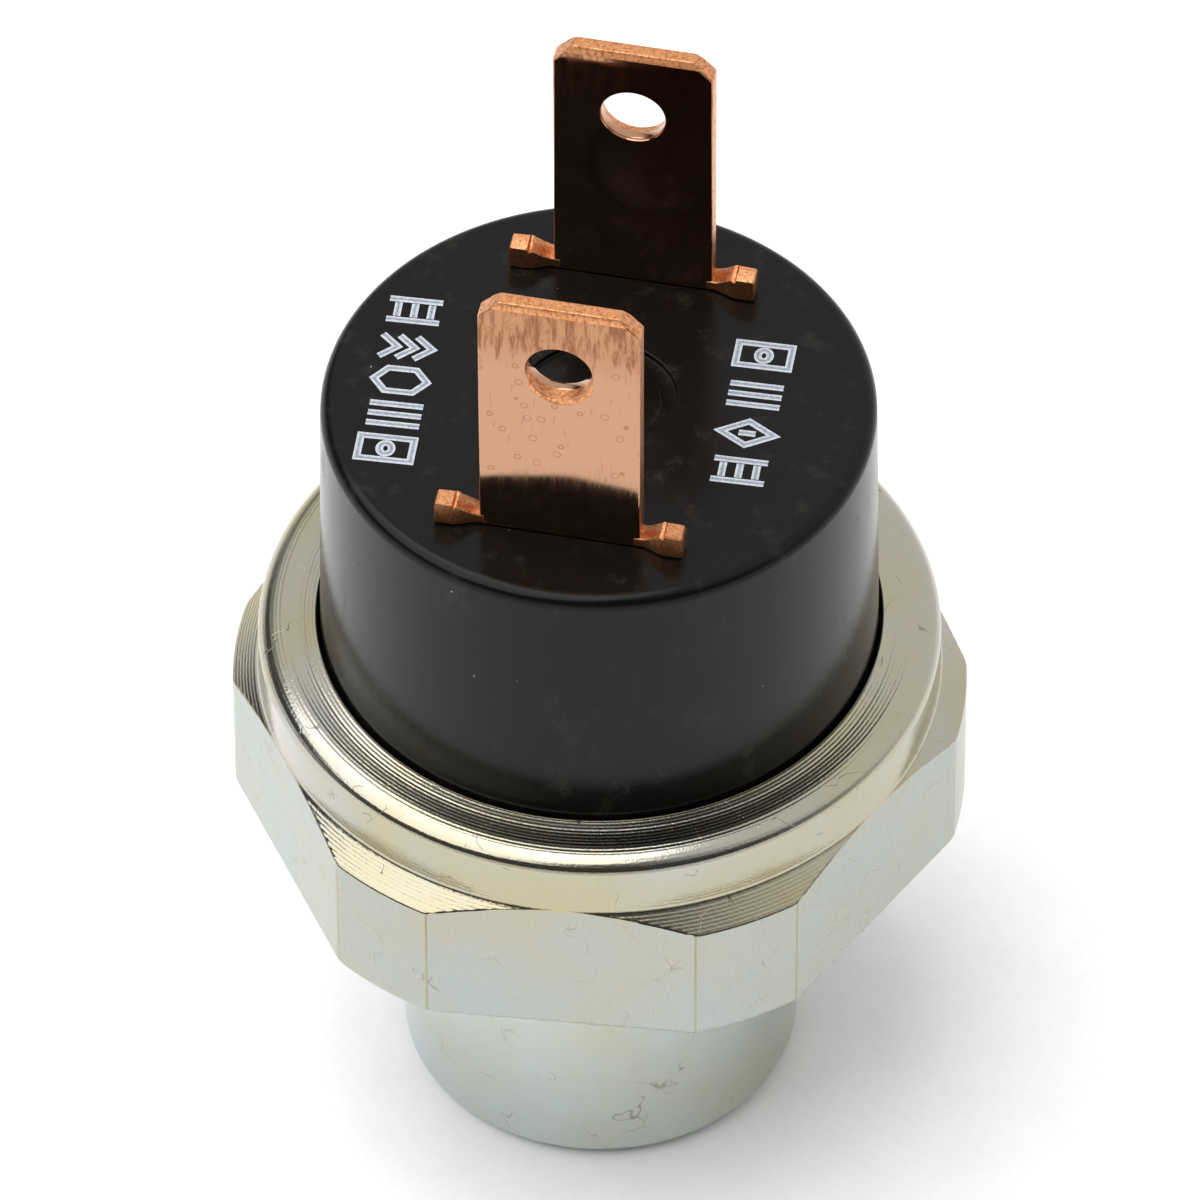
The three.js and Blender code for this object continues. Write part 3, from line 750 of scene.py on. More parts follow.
def filleted(corners: Sequence[Corner], steps: int = 5) -> list[Point]:
    """Rounds the inner corners of an open outline.

    Args:
        corners: x, y and the fillet radius of each corner; the first and last stay sharp.
        steps: how many segments each fillet gets.

    Returns:
        The outline's points.
    """
    points: list[Point] = [corners[0][:2]]
    for before, (x, y, radius), after in zip(corners, corners[1:], corners[2:]):
        here = Vector((x, y))
        into = (Vector(before[:2]) - here).normalized()
        out = (Vector(after[:2]) - here).normalized()
        half = into.angle(out, math.pi) / 2
        if radius <= 0 or half > 0.499 * math.pi:
            points.append((x, y))
            continue
        centre = here + (into + out).normalized() * (radius / math.sin(half))
        start = here + into * (radius / math.tan(half)) - centre
        sweep = start.angle_signed(here + out * (radius / math.tan(half)) - centre)
        for i in range(steps + 1):
            turned = Matrix.Rotation(-sweep * i / steps, 2) @ start
            points.append((centre.x + turned.x, centre.y + turned.y))
    points.append(corners[-1][:2])
    return points


class Carving(Enum):
    """What a boolean does to its target."""

    CUT = "DIFFERENCE"
    JOIN = "UNION"


MERGE_DISTANCE = 2e-7  # metres; nearer points are one
DEGENERATE_LENGTH = 1e-8  # metres; shorter edges are dissolved


def make_piece(
    name: str,
    points: Sequence[Sequence[float]],
    faces: Sequence[Sequence[int]],
    finishes: Sequence[Finish],
    picks: Sequence[int] | None = None,
    turn: float = 0.0,
    sharp: float = 32.0,
) -> bpy.types.Object:
    """Makes one closed mesh object from points in millimetres.

    Args:
        name: the piece's name.
        points: the vertices in millimetres, square to the blades.
        faces: vertex numbers of each face.
        finishes: the finishes that its faces pick from.
        picks: which finish each face takes; the first if left out.
        turn: the object's turn about the axis, in radians.
        sharp: the angle in degrees above which an edge stays sharp.

    Returns:
        The object.
    """
    mesh = bpy.data.meshes.new(name)
    mesh.from_pydata([[c * MM for c in p] for p in points], [], [list(f) for f in faces])
    for finish in finishes:
        mesh.materials.append(finish.material())
    if picks is not None:
        mesh.polygons.foreach_set("material_index", list(picks))
    shape = bmesh.new()
    shape.from_mesh(mesh)
    bmesh.ops.remove_doubles(shape, verts=shape.verts, dist=MERGE_DISTANCE)
    bmesh.ops.dissolve_degenerate(shape, edges=shape.edges, dist=DEGENERATE_LENGTH)
    bmesh.ops.recalc_face_normals(shape, faces=shape.faces)
    shape.to_mesh(mesh)
    shape.free()
    mesh.shade_smooth()
    mesh.set_sharp_from_angle(angle=math.radians(sharp))
    made = bpy.data.objects.new(name, mesh)
    made.rotation_euler.z = turn
    bpy.context.scene.collection.objects.link(made)
    return made


def swept(sections: Sequence[Sequence[Sequence[float]]], closed: bool) -> tuple[list, list]:
    """Joins loops of points into one skin.

    Args:
        sections: loops of equally many points, in order.
        closed: whether the last loop joins the first; if not, both ends are capped.

    Returns:
        The points and the faces.
    """
    size = len(sections[0])
    points = [p for section in sections for p in section]
    faces: list[tuple[int, ...]] = []
    count = len(sections)
    for i in range(count if closed else count - 1):
        a, b = i * size, ((i + 1) % count) * size
        faces += [(a + j, a + (j + 1) % size, b + (j + 1) % size, b + j) for j in range(size)]
    if not closed:
        faces += [tuple(range(size)), tuple(range((count - 1) * size, count * size))]
    return points, faces


def lathe(profile: Sequence[Point], columns: int) -> tuple[list, list]:
    """Turns a closed loop of (radius, height) points about the axis.

    Args:
        profile: the loop's points.
        columns: how many columns go round.

    Returns:
        The points and the faces.
    """
    sections = []
    for i in range(columns):
        c, s = math.cos(TURN * i / columns), math.sin(TURN * i / columns)
        sections.append([(r * c, r * s, z) for r, z in profile])
    return swept(sections, closed=True)


def carve(target: bpy.types.Object, tool: bpy.types.Object, carving: Carving) -> None:
    """Applies one exact boolean and removes its tool.

    Args:
        target: the object that changes.
        tool: the object that cuts it or joins it.
        carving: whether it cuts or joins.
    """
    cut = target.modifiers.new("carve", "BOOLEAN")
    cut.solver = "EXACT"
    cut.operation = carving.value
    cut.object = tool
    cut.material_mode = "TRANSFER"
    bpy.context.view_layer.update()
    graph = bpy.context.evaluated_depsgraph_get()
    carved = bpy.data.meshes.new_from_object(target.evaluated_get(graph))
    target.modifiers.remove(cut)
    old = target.data
    carved.name = old.name
    target.data = carved
    bpy.data.meshes.remove(old)
    spent = tool.data
    bpy.data.objects.remove(tool)
    bpy.data.meshes.remove(spent)


def even_shading(piece: bpy.types.Object) -> None:
    """Keeps flat faces flat beside their rounded edges."""
    weighted = piece.modifiers.new("even_shading", "WEIGHTED_NORMAL")
    weighted.keep_sharp = True


def place(piece: bpy.types.Object, body: str, slot: str, *nodes: str) -> bpy.types.Object:
    """Mounts a finished piece on its body and reports it.

    Args:
        piece: the finished piece.
        body: the CAD body it moves with.
        slot: the material slot's name; not used.
        nodes: the CAD nodes it stands for.

    Returns:
        The piece.
    """
    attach(piece, body)
    if nodes:
        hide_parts(*nodes)
    log.info("%s: %d faces, on %s", piece.name, len(piece.data.polygons), body)
    return piece


# ---------------------------------------------------------------- where things are


def box_mm(node: str) -> tuple[Vector, Vector]:
    """Returns the lowest and highest corners of a CAD node in millimetres."""
    low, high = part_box(node)
    return low / MM, high / MM


@dataclass(frozen=True)
class Layout:
    """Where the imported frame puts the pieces, in millimetres and radians."""

    flat_distance: float
    corner_radius: float
    hex_bottom: float
    lip_top: float
    base_bottom: float
    base_top: float
    flange_radius: float
    foot_bottom: float
    blade_top: float
    spring_bottom: float
    spring_top: float
    spring_radius: float
    disc_bottom: float
    disc_top: float
    disc_radius: float
    clocking: float

    @classmethod
    def read(cls, record: Mapping[str, Any]) -> "Layout":
        """Reads the layout.

        Args:
            record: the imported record.

        Returns:
            The layout.
        """
        mounts = {m["name"]: m for m in record["mounts"]}
        body, base = box_mm("hex_body"), box_mm("terminal_base")
        gasket, blade = box_mm("base_gasket"), box_mm("terminal_rear")
        spring, disc = box_mm("return_spring"), box_mm("snap_disc")
        normal = mounts["blade_face_rear"]["axis"]
        return cls(
            flat_distance=body[1].y,
            corner_radius=body[1].x,
            hex_bottom=mounts["hex_underside"]["pos_m"][2] / MM,
            lip_top=body[1].z,
            base_bottom=base[0].z,
            base_top=base[1].z,
            flange_radius=gasket[1].x,
            foot_bottom=blade[0].z,
            blade_top=blade[1].z,
            spring_bottom=spring[0].z,
            spring_top=spring[1].z,
            spring_radius=spring[1].x,
            disc_bottom=disc[0].z,
            disc_top=disc[1].z,
            disc_radius=disc[1].x,
            clocking=-math.asin(normal[0]),
        )


# ---------------------------------------------------------------- body


class Skin(IntEnum):
    """Which finish a face of the body's skin takes, by its place in the list of finishes."""

    TURNED = 0
    DRAWN = 1
    BORED = 2
    FINE_TURNED = 3
    WORN = 4


class Cut(Enum):
    """What a row of the body's skin follows on its way round."""

    ROUND = "a full circle"
    FLATS = "the flats and corners, its radius being an inset"
    EDGE = "the edge where the flats meet the skirt"
    SKIRT = "the chamfer cone under the collar, stopped at the flats"


@dataclass(frozen=True)
class Row:
    """One row of the body's skin and the finish of the faces above it."""

    radius: float
    height: float
    cut: Cut = Cut.ROUND
    finish: Skin = Skin.TURNED


@dataclass
class HexBody:
    """The body: spigot, hexagon, collar, rolled lip, stack chamber and threaded port."""

    layout: Layout
    spigot_radius: float = 7.9
    spigot_chamfer: float = 0.6
    underside_fillet: float = 0.25
    flat_edge: float = 0.38
    corner_blend: float = 0.10
    worn_edge: float = math.radians(0.18)  # half the width of the line where flat meets corner
    edge_break: float = 0.03
    collar_step: float = 0.05
    collar_bottom: float = 21.12
    skirt_angle: float = math.radians(38)
    skirt_fillet: float = 0.25
    skirt_pitch: float = 0.12
    skirt_groove: float = 0.006
    shoulder_roll: float = 1.15
    shoulder_drop: float = 0.75
    shoulder_pitch: float = 0.16
    shoulder_groove: float = 0.014
    wall_pitch: float = 0.13
    wall_groove: float = 0.003
    lip_crown: float = 0.12
    lip_radius: float = 11.1
    lip_thickness: float = 0.9
    lip_edge: float = 0.08
    chamber_radius: float = 12.3
    chamber_floor: float = 16.2
    groove: tuple[float, float, float] = (8.6, 10.6, 1.2)
    recess: Point = (7.2, 0.5)
    orifice_radius: float = 0.8
    snubber_seat: tuple[float, float, float] = (2.95, 10.5, 12.5)
    thread_root: float = 4.87
    thread_crest: float = 4.29
    thread_pitch: float = 0.907
    thread_span: Point = (0.55, 9.6)
    thread_columns: int = 60
    thread_fade: float = 0.6  # of a turn, over which each end of the ridge dies away
    thread_share: float = 0.47  # half the ridge's width, as a share of the pitch
    thread_sunk: float = 0.03  # how far the ridge's foot is let into the bore
    mouth_radius: float = 5.1
    lip_undercut: float = 0.002  # how far below the lip's top its inner edge starts
    inside_fillets: tuple[float, float, float] = (0.1, 0.08, 0.05)
    edge_steps: int = 6
    fillet_steps: int = 8
    trace_steps: int = 1000
    groove_rows: int = 4  # rows to each groove of the skirt and the wall
    shoulder_groove_rows: int = 5
    shoulder_grooves: int = 40
    faint_grooves: float = 0.3  # depth of the grooves outside the shoulder's crown
    groove_seed: int = 7
    edge_columns: tuple[float, ...] = (-1.6, -1.0, -0.55, -0.18, 0.18, 0.55, 1.0, 1.6)  # degrees
    flat_columns: int = 12
    corner_columns: int = 4

    @property
    def collar_radius(self) -> float:
        """Returns the radius of the collar's wall."""
        return self.layout.flat_distance - self.collar_step

    @property
    def skirt_end(self) -> float:
        """Returns the radius at which the skirt's slope meets its fillet."""
        return self.collar_radius + self.skirt_fillet * (1 - math.sin(self.skirt_angle))

    @property
    def corner_bend(self) -> float:
        """Returns the angle from a flat's middle to the edge of its corner."""
        return math.acos(self.layout.flat_distance / self.layout.corner_radius)

    def sixth(self, angle: float) -> float:
        """Returns how far an angle is from the middle of its flat."""
        return (angle + math.pi / 6 - math.pi / 2) % (math.pi / 3) - math.pi / 6

    def outline(self, angle: float) -> float:
        """Gives the hexagon's radius with its turned corners and soft edges.

        Args:
            angle: the direction round the axis.

        Returns:
            The radius.
        """
        flat = self.layout.flat_distance / math.cos(self.sixth(angle))
        corner = self.layout.corner_radius
        near = max(self.corner_blend - abs(flat - corner), 0) / self.corner_blend
        return min(flat, corner) - near * near * self.corner_blend / 4

    def skirt_height(self, radius: float) -> float:
        """Gives the height of the skirt, from the hexagon's edge in to the collar's wall.

        Args:
            radius: the distance from the axis.

        Returns:
            The height.
        """
        out = radius - self.collar_radius
        fillet, sine = self.skirt_fillet, math.sin(self.skirt_angle)
        centre = self.collar_bottom + fillet * (1 - sine) / math.cos(self.skirt_angle)
        if out < fillet * (1 - sine):
            return centre - math.sqrt(max(fillet**2 - (out - fillet) ** 2, 0))
        return self.collar_bottom - out * math.tan(self.skirt_angle)

    def outer_rows(self) -> list[Row]:
        """Lists the rows from the port's mouth up to the collar.

        Returns:
            The rows, from the lowest up.
        """
        bottom, spigot = self.layout.hex_bottom, self.spigot_radius
        foot = filleted(
            [
                (self.mouth_radius, 0, 0),
                (spigot - self.spigot_chamfer, 0, 0.25),
                (spigot, self.spigot_chamfer, 0.5),
                (spigot, bottom, self.underside_fillet),
                (spigot + 2, bottom, 0),
            ]
        )
        rows = [Row(r, z, Cut.ROUND, Skin.FINE_TURNED) for r, z in foot]
        edge, steps = self.flat_edge, self.edge_steps
        for i in range(steps + 1):
            lean = math.pi / 2 * i / steps
            inset, up = edge * (1 - math.sin(lean)), edge * (1 - math.cos(lean))
            rows.append(Row(inset, bottom + up, Cut.FLATS, Skin.DRAWN))
        rows.append(Row(0, 0, Cut.EDGE))
        return rows

    def skirt_rows(self) -> list[Row]:
        """Lists the grooved rows of the skirt, from the corners in to the collar.

        Returns:
            The rows, from the widest in.
        """
        end = self.skirt_end
        step = self.skirt_pitch / self.groove_rows
        count = math.ceil((self.layout.corner_radius - self.edge_break - end) / step)
        start = end + count * step
        rows = [Row(start - i * step, 0, Cut.SKIRT) for i in range(count + 1)]
        for i in range(1, self.fillet_steps + 1):
            lean = (math.pi / 2 - self.skirt_angle) * i / self.fillet_steps
            out = self.skirt_fillet * (1 - math.sin(self.skirt_angle + lean))
            rows.append(Row(self.collar_radius + out, 0, Cut.SKIRT))
        return rows

    def wall_rows(self) -> list[Row]:
        """Lists the faintly grooved rows up the collar's wall.

        Returns:
            The rows, from the lowest up.
        """
        low = self.collar_bottom + self.skirt_fillet
        high = self.layout.lip_top - self.lip_crown - self.shoulder_drop
        step = self.wall_pitch / self.groove_rows
        rows = []
        for i in range(int((high - low) / step)):
            fade = max(0.0, 1 - i * step / (high - low))
            depth = self.wall_groove * fade * abs(math.sin(math.pi * i / self.groove_rows))
            rows.append(Row(self.collar_radius - depth, low + i * step))
        return rows

    def shoulder_line(self) -> list[Point]:
        """Traces the shoulder finely, from the collar's wall round its curve and in to the lip.

        Returns:
            The line's points as radius and height.
        """
        inner, fine = self.collar_radius - self.shoulder_roll, self.trace_steps
        crown = self.layout.lip_top - self.lip_crown
        line = []
        for i in range(fine + 1):
            lean = math.pi / 2 * i / fine
            out = self.shoulder_roll * math.cos(lean)
            down = self.shoulder_drop * (1 - math.sin(lean))
            line.append((inner + out, crown - down))
        reach = self.lip_radius - inner
        for i in range(1, fine + 1):
            line.append((inner + reach * i / fine, crown + self.lip_crown * (i / fine) ** 2))
        return line

    def shoulder_rows(self) -> list[Row]:
        """Lists the grooved rows over the rolled shoulder, from the collar's wall to the lip.

        Returns:
            The rows, from the wall in.
        """
        line = self.shoulder_line()
        curve = self.collar_radius - 0.6 * self.shoulder_roll
        per_groove = self.shoulder_groove_rows
        step, gone, index = self.shoulder_pitch / per_groove, 0.0, 0
        draw = random.Random(self.groove_seed)
        depths = [draw.uniform(0.5, 1.2) for _ in range(self.shoulder_grooves)]
        rows = []
        for (r0, z0), (r1, z1) in zip(line, line[1:]):
            gone += math.dist((r0, z0), (r1, z1))
            if gone < (index + 1) * step:
                continue
            if r1 < self.lip_radius + self.lip_edge:
                break
            index += 1
            across = math.sin(math.pi * (index % per_groove) / per_groove)
            depth = self.shoulder_groove * depths[index // per_groove] * across
            depth *= 1.0 if r1 < curve else self.faint_grooves
            inward = Vector((z1 - z0, r0 - r1)).normalized() * -1
            rows.append(Row(r1 + inward.x * depth, z1 + inward.y * depth))
        return rows

    def inner_rows(self) -> list[Row]:
        """Lists the rows from the lip down through the chamber to the port.

        Returns:
            The rows, from the lip down.
        """
        floor, (recess, recess_depth) = self.chamber_floor, self.recess
        inner, outer, depth = self.groove
        seat, seat_bottom, seat_top = self.snubber_seat
        lip, top = self.lip_radius, self.layout.lip_top
        rim, (soft, crisp, fine) = top - self.lip_undercut, self.inside_fillets
        profile = filleted(
            [
                (lip + 1.0, rim, 0),
                (lip, rim, self.lip_edge),
                (lip, top - self.lip_thickness, soft),
                (self.chamber_radius, top - self.lip_thickness, soft),
                (self.chamber_radius, floor, soft),
                (outer, floor, crisp),
                (outer, floor - depth, soft),
                (inner, floor - depth, soft),
                (inner, floor, crisp),
                (recess, floor, fine),
                (recess, floor - recess_depth, soft),
                (self.orifice_radius, floor - recess_depth, fine),
                (self.orifice_radius, seat_top, fine),
                (seat, seat_top, soft),
                (seat, seat_bottom, soft),
                (self.thread_root, seat_bottom, 0.2),
                (self.thread_root, self.mouth_radius - self.thread_root, 0),
            ]
        )
        return [Row(r, z, Cut.ROUND, Skin.BORED) for r, z in profile[1:]]

    def spot(self, row: Row, angle: float) -> tuple[float, float]:
        """Gives where a row stands at an angle.

        Args:
            row: the row.
            angle: the direction round the axis.

        Returns:
            The radius and the height.
        """
        if row.cut is Cut.ROUND:
            return row.radius, row.height
        outline = self.outline(angle)
        if row.cut is Cut.FLATS:
            return outline - row.radius, row.height
        if row.cut is Cut.EDGE:
            return outline, self.skirt_height(outline) - self.edge_break
        radius = max(min(row.radius, outline - self.edge_break), self.collar_radius)
        height = self.skirt_height(radius)
        if radius > self.skirt_end:
            phase = (radius - self.skirt_end) / self.skirt_pitch
            depth = self.skirt_groove * abs(math.sin(math.pi * phase))
            height -= depth / math.cos(self.skirt_angle)
        return radius, height

    def angles(self) -> list[float]:
        """Lists the skin's columns, closer together at the edges of the flats.

        Returns:
            The columns' directions, in radians.
        """
        near = [self.corner_bend + math.radians(d) for d in self.edge_columns]
        flat = [near[0] * i / self.flat_columns for i in range(self.flat_columns)]
        rest = (math.pi / 6 - near[-1]) / self.corner_columns
        land = [near[-1] + rest * i for i in range(1, self.corner_columns)]
        half = flat + near + land
        around = []
        for k in range(6):
            middle = math.pi / 2 + k * math.pi / 3
            around += [middle + a for a in half] + [middle - a for a in half[1:]]
            around.append(middle + math.pi / 6)
        return sorted(a % TURN for a in around)

    def skin(self) -> bpy.types.Object:
        """Makes the body's one closed skin.

        Returns:
            The object.
        """
        rows = self.outer_rows() + self.skirt_rows() + self.wall_rows()
        rows += self.shoulder_rows() + self.inner_rows()
        sections = []
        picks: list[int] = []
        for angle in self.angles():
            spots = [self.spot(row, angle) for row in rows]
            sections.append([(r * math.cos(angle), r * math.sin(angle), z) for r, z in spots])
            from_middle = abs(self.sixth(angle + self.worn_edge / 2))
            worn = abs(from_middle - self.corner_bend) < self.worn_edge
            for row in rows:
                scuffed = worn and row.finish is Skin.DRAWN
                picks.append(int(Skin.WORN if scuffed else row.finish))
        points, faces = swept(sections, closed=True)
        finishes = (TURNED_ZINC, DRAWN_ZINC, BORED_ZINC, FINE_ZINC, WORN_ZINC)
        return make_piece("switch_body", points, faces, finishes, picks)

    def thread(self) -> bpy.types.Object:
        """Makes the port's helical thread ridge.

        Returns:
            The object.
        """
        per_turn, fade = self.thread_columns, self.thread_columns * self.thread_fade
        low, high = self.thread_span
        steps = round((high - low) / self.thread_pitch * per_turn)
        sections = []
        for i in range(steps + 1):
            angle, rise = TURN * i / per_turn, low + (high - low) * i / steps
            full = min(1.0, i / fade, (steps - i) / fade)
            crest = self.thread_root - (self.thread_root - self.thread_crest) * full
            half = self.thread_pitch * self.thread_share
            root, soft = self.thread_root + self.thread_sunk, crest + 0.03
            shape = [(root, -half), (soft, -0.09), (crest, -0.04), (crest, 0.04),
                     (soft, 0.09), (root, half)]
            c, s = math.cos(angle), math.sin(angle)
            sections.append([(r * c, r * s, rise + z) for r, z in shape])
        points, faces = swept(sections, closed=False)
        return make_piece("port_thread", points, faces, (BORED_ZINC,), sharp=45)

    def build(self) -> None:
        """Makes, dresses and places the body's pieces."""
        skin = self.skin()
        even_shading(skin)
        place(skin, HOUSING, "zinc_plated_steel", "hex_body")
        place(self.thread(), HOUSING, "zinc_plated_steel")


# ---------------------------------------------------------------- terminal base


@dataclass
class TerminalBase:
    """The moulded cup that carries the terminals."""

    layout: Layout
    flange_thickness: float = 1.6
    foot_radius: float = 11.0
    top_radius: float = 10.797
    edge_radius: float = 0.55
    cavity_radius: float = 8.8
    top_thickness: float = 3.3
    pilot: Point = (1.3, 1.2)
    recess: Point = (3.1, 0.25)
    gate_disc: Point = (2.42, 0.1)
    slot: tuple[float, float, float] = (6.4, 0.88, 7.0)
    slot_overrun: float = 1.0  # how far the slot's tool stands out of the top, each way
    columns: int = 144
    profile_steps: int = 8
    sharp: float = math.radians(40)

    def cup(self) -> bpy.types.Object:
        """Makes the cup with its two slots.

        Returns:
            The object.
        """
        layout = self.layout
        top, bottom = layout.base_top, layout.base_bottom
        ceiling = top - self.top_thickness
        pilot, pilot_length = self.pilot
        recess, sunk = self.recess
        disc, raised = self.gate_disc
        profile = filleted(
            [
                (0, ceiling - pilot_length, 0),
                (pilot, ceiling - pilot_length, 0.2),
                (pilot, ceiling, 0.1),
                (self.cavity_radius, ceiling, 0.4),
                (self.cavity_radius, bottom, 0.15),
                (layout.flange_radius, bottom, 0.15),
                (layout.flange_radius, bottom + self.flange_thickness, 0.2),
                (self.foot_radius, bottom + self.flange_thickness, 0.1),
                (self.top_radius, top, self.edge_radius),
                (recess, top, 0.07),
                (recess, top - sunk, 0.07),
                (disc, top - sunk, 0.04),
                (disc, top - sunk + raised, 0.05),
                (0, top - sunk + raised, 0),
            ],
            steps=self.profile_steps,
        )
        points, faces = lathe(profile, self.columns)
        cup = make_piece("moulded_base", points, faces, (PHENOLIC,), turn=layout.clocking)
        width, depth, out = self.slot
        for side in (-1, 1):
            x, y, z = width / 2, depth / 2, self.top_thickness / 2 + self.slot_overrun
            ring = [(x, -y), (x, y), (-x, y), (-x, -y)]
            middle = ceiling + self.top_thickness / 2
            loops = [[(a, side * out + b, middle + lift) for a, b in ring] for lift in (-z, z)]
            tool = make_piece("slot_tool", *swept(loops, closed=False), (PHENOLIC,),
                              turn=layout.clocking)
            carve(cup, tool, Carving.CUT)
        cup.data.set_sharp_from_angle(angle=self.sharp)
        return cup

    def build(self) -> None:
        """Makes, dresses and places the base."""
        cup = self.cup()
        even_shading(cup)
        place(cup, HOUSING, "black_phenolic", "terminal_base")


# ---------------------------------------------------------------- terminals


class Strip(IntEnum):
    """Which finish a face of a terminal takes, by its place in the list of finishes."""

    ROLLED = 0
    SHEARED = 1


@dataclass
class Terminal:
    """One blade terminal: contact foot, leg, blade and two locking ears, from one strip."""

    layout: Layout
    name: str
    node: str
    side: int
    thickness: float = 0.8
    plane: float = 7.0
    blade_width: float = 6.3
    leg_width: float = 7.2
    shoulder_drop: float = 3.35
    foot_end: float = 3.4
    bend_radius: float = 0.9
    tip_chamfer: float = 0.8
    bevel_height: float = 0.3
    tip_thickness: float = 0.56
    edge: float = 0.07
    hole_radius: float = 1.25
    hole_below_tip: float = 3.3
    rivet_hole: Point = (0.7, 4.75)
    ear_lean: float = 0.34
    ear_top: float = 1.12
    ear_neck: float = 0.45
    ear_reach: float = 4.86
    ear_clear: float = 0.05  # under the ears
    ear_roughness: float = 0.015
    ear_seed: int = 3
    corner_steps: int = 3
    bend_steps: int = 8
    narrow_sides: tuple[int, ...] = (14, 15, 0, 6, 7, 8)  # faces round the strip's two edges
    hole_columns: int = 64
    rivet_columns: int = 32
    burr_steps: int = 24
    burr_from: float = -150.0  # degrees round the hole
    burr_sweep: float = 135.0
    sharp: float = 38.0

    def section(
        self, centre: Point, across: Point, width: float, thickness: float
    ) -> list[Corner]:
        """Makes one rounded cross-section of the strip.

        Args:
            centre: y and z of its middle.
            across: y and z of the direction through the strip.
            width: its half width.
            thickness: its half thickness.

        Returns:
            The loop's points.
        """
        loop = []
        soft = min(self.edge, thickness * 0.5)
        for sx, st, first in ((1, 1, 0), (-1, 1, 1), (-1, -1, 2), (1, -1, 3)):
            for i in range(self.corner_steps + 1):
                a = math.pi / 2 * (first + i / self.corner_steps)
                x = sx * (width - soft) + soft * math.cos(a)
                t = st * (thickness - soft) + soft * math.sin(a)
                loop.append((x, centre[0] + across[0] * t, centre[1] + across[1] * t))
        return loop

    def strip(self) -> bpy.types.Object:
        """Makes the strip from the end of its foot, round the bend and up to its tip.

        Returns:
            The object.
        """
        low, top = self.layout.foot_bottom, self.layout.blade_top
        half = self.thickness / 2
        leg, blade = self.leg_width / 2, self.blade_width / 2
        bend_y, bend_z = self.plane - self.bend_radius, low + half + self.bend_radius
        shoulder = self.layout.base_top - self.shoulder_drop
        flat, up = (0.0, -1.0), (1.0, 0.0)
        loops = [
            self.section((self.foot_end, low + half), flat, leg - 0.05, half - 0.05),
            self.section((self.foot_end + 0.06, low + half), flat, leg, half),
        ]
        for i in range(self.bend_steps + 1):
            a = math.pi / 2 * (i / self.bend_steps - 1)
            y, z = math.cos(a), math.sin(a)
            centre = (bend_y + self.bend_radius * y, bend_z + self.bend_radius * z)
            loops.append(self.section(centre, (y, z), leg, half))
        tip = self.tip_thickness / 2
        cut = top - self.tip_chamfer
        bevel = top - self.bevel_height
        heights = [
            (shoulder, leg, half),
            (shoulder + 0.02, blade, half),
            (self.layout.base_top, blade, half),
            (cut - 0.04, blade, half),
            (cut + 0.04, blade - 0.06, half),
            (bevel, blade - (bevel - cut), half - 0.01),
            (top - 0.05, blade - self.tip_chamfer + 0.05, tip + 0.015),
            (top, blade - self.tip_chamfer - 0.02, tip - 0.05),
        ]
        loops += [self.section((self.plane, z), up, w, t) for z, w, t in heights]
        points, faces = swept(loops, closed=False)
        size, tip_from = len(loops[0]), len(loops) - 3
        picks: list[int] = []
        for i in range(len(loops) - 1):
            for j in range(size):
                cut_face = j in self.narrow_sides or i >= tip_from
                picks.append(int(Strip.SHEARED if cut_face else Strip.ROLLED))
        picks += [int(Strip.SHEARED)] * 2
        return make_piece(self.name, points, faces, (COPPER, SHEARED), picks, sharp=self.sharp)

    def ear(self, hand: int) -> bpy.types.Object:
        """Makes one locking ear, swung out of the blade's plane.

        Args:
            hand: the side of the blade it is on.

        Returns:
            The object.
        """
        low = self.layout.base_top + self.ear_clear
        reach, top = self.ear_reach, self.ear_top
        lean = self.ear_lean * -self.side
        draw = random.Random(self.ear_seed + hand + 5 * self.side)
        spots = [  # distance out, height, share of the swing, depth of the nick
            (2.9, self.ear_neck, 0.0, 0.0),
            (3.3, self.ear_neck + 0.02, 0.1, 0.0),
            (3.62, self.ear_neck + 0.27, 0.45, 0.02),
            (3.93, top - 0.1, 0.85, 0.05),
            (4.02, top - 0.02, 0.9, 0.16),
            (4.1, top, 0.95, 0.24),
            (4.17, top + 0.01, 1.0, 0.02),
            (reach - 0.06, top - 0.02, 1.0, 0.0),
            (reach, top - 0.08, 1.0, 0.03),
        ]
        half, forward = self.thickness / 2, lean < 0
        loops = []
        for x, height, swing, notch in spots:
            shift = lean * swing
            near, far = self.plane + shift - half, self.plane + shift + half
            rough = [draw.uniform(-self.ear_roughness, self.ear_roughness) for _ in range(4)]
            near_top = height - (notch if forward else 0)
            far_top = height - (0 if forward else notch)
            soft = 0.05 if x < reach else 0.1
            loops.append(
                [
                    (hand * x, near + soft, low),
                    (hand * x, near, low + soft),
                    (hand * x, near + rough[0], low + near_top - soft),
                    (hand * x, near + soft, low + near_top + rough[1]),
                    (hand * x, far - soft, low + far_top + rough[2]),
                    (hand * x, far + rough[3], low + far_top - soft),
                    (hand * x, far, low + soft),
                    (hand * x, far - soft, low),
                ]
            )
        points, faces = swept(loops, closed=False)
        return make_piece("ear_tool", points, faces, (SHEARED,))

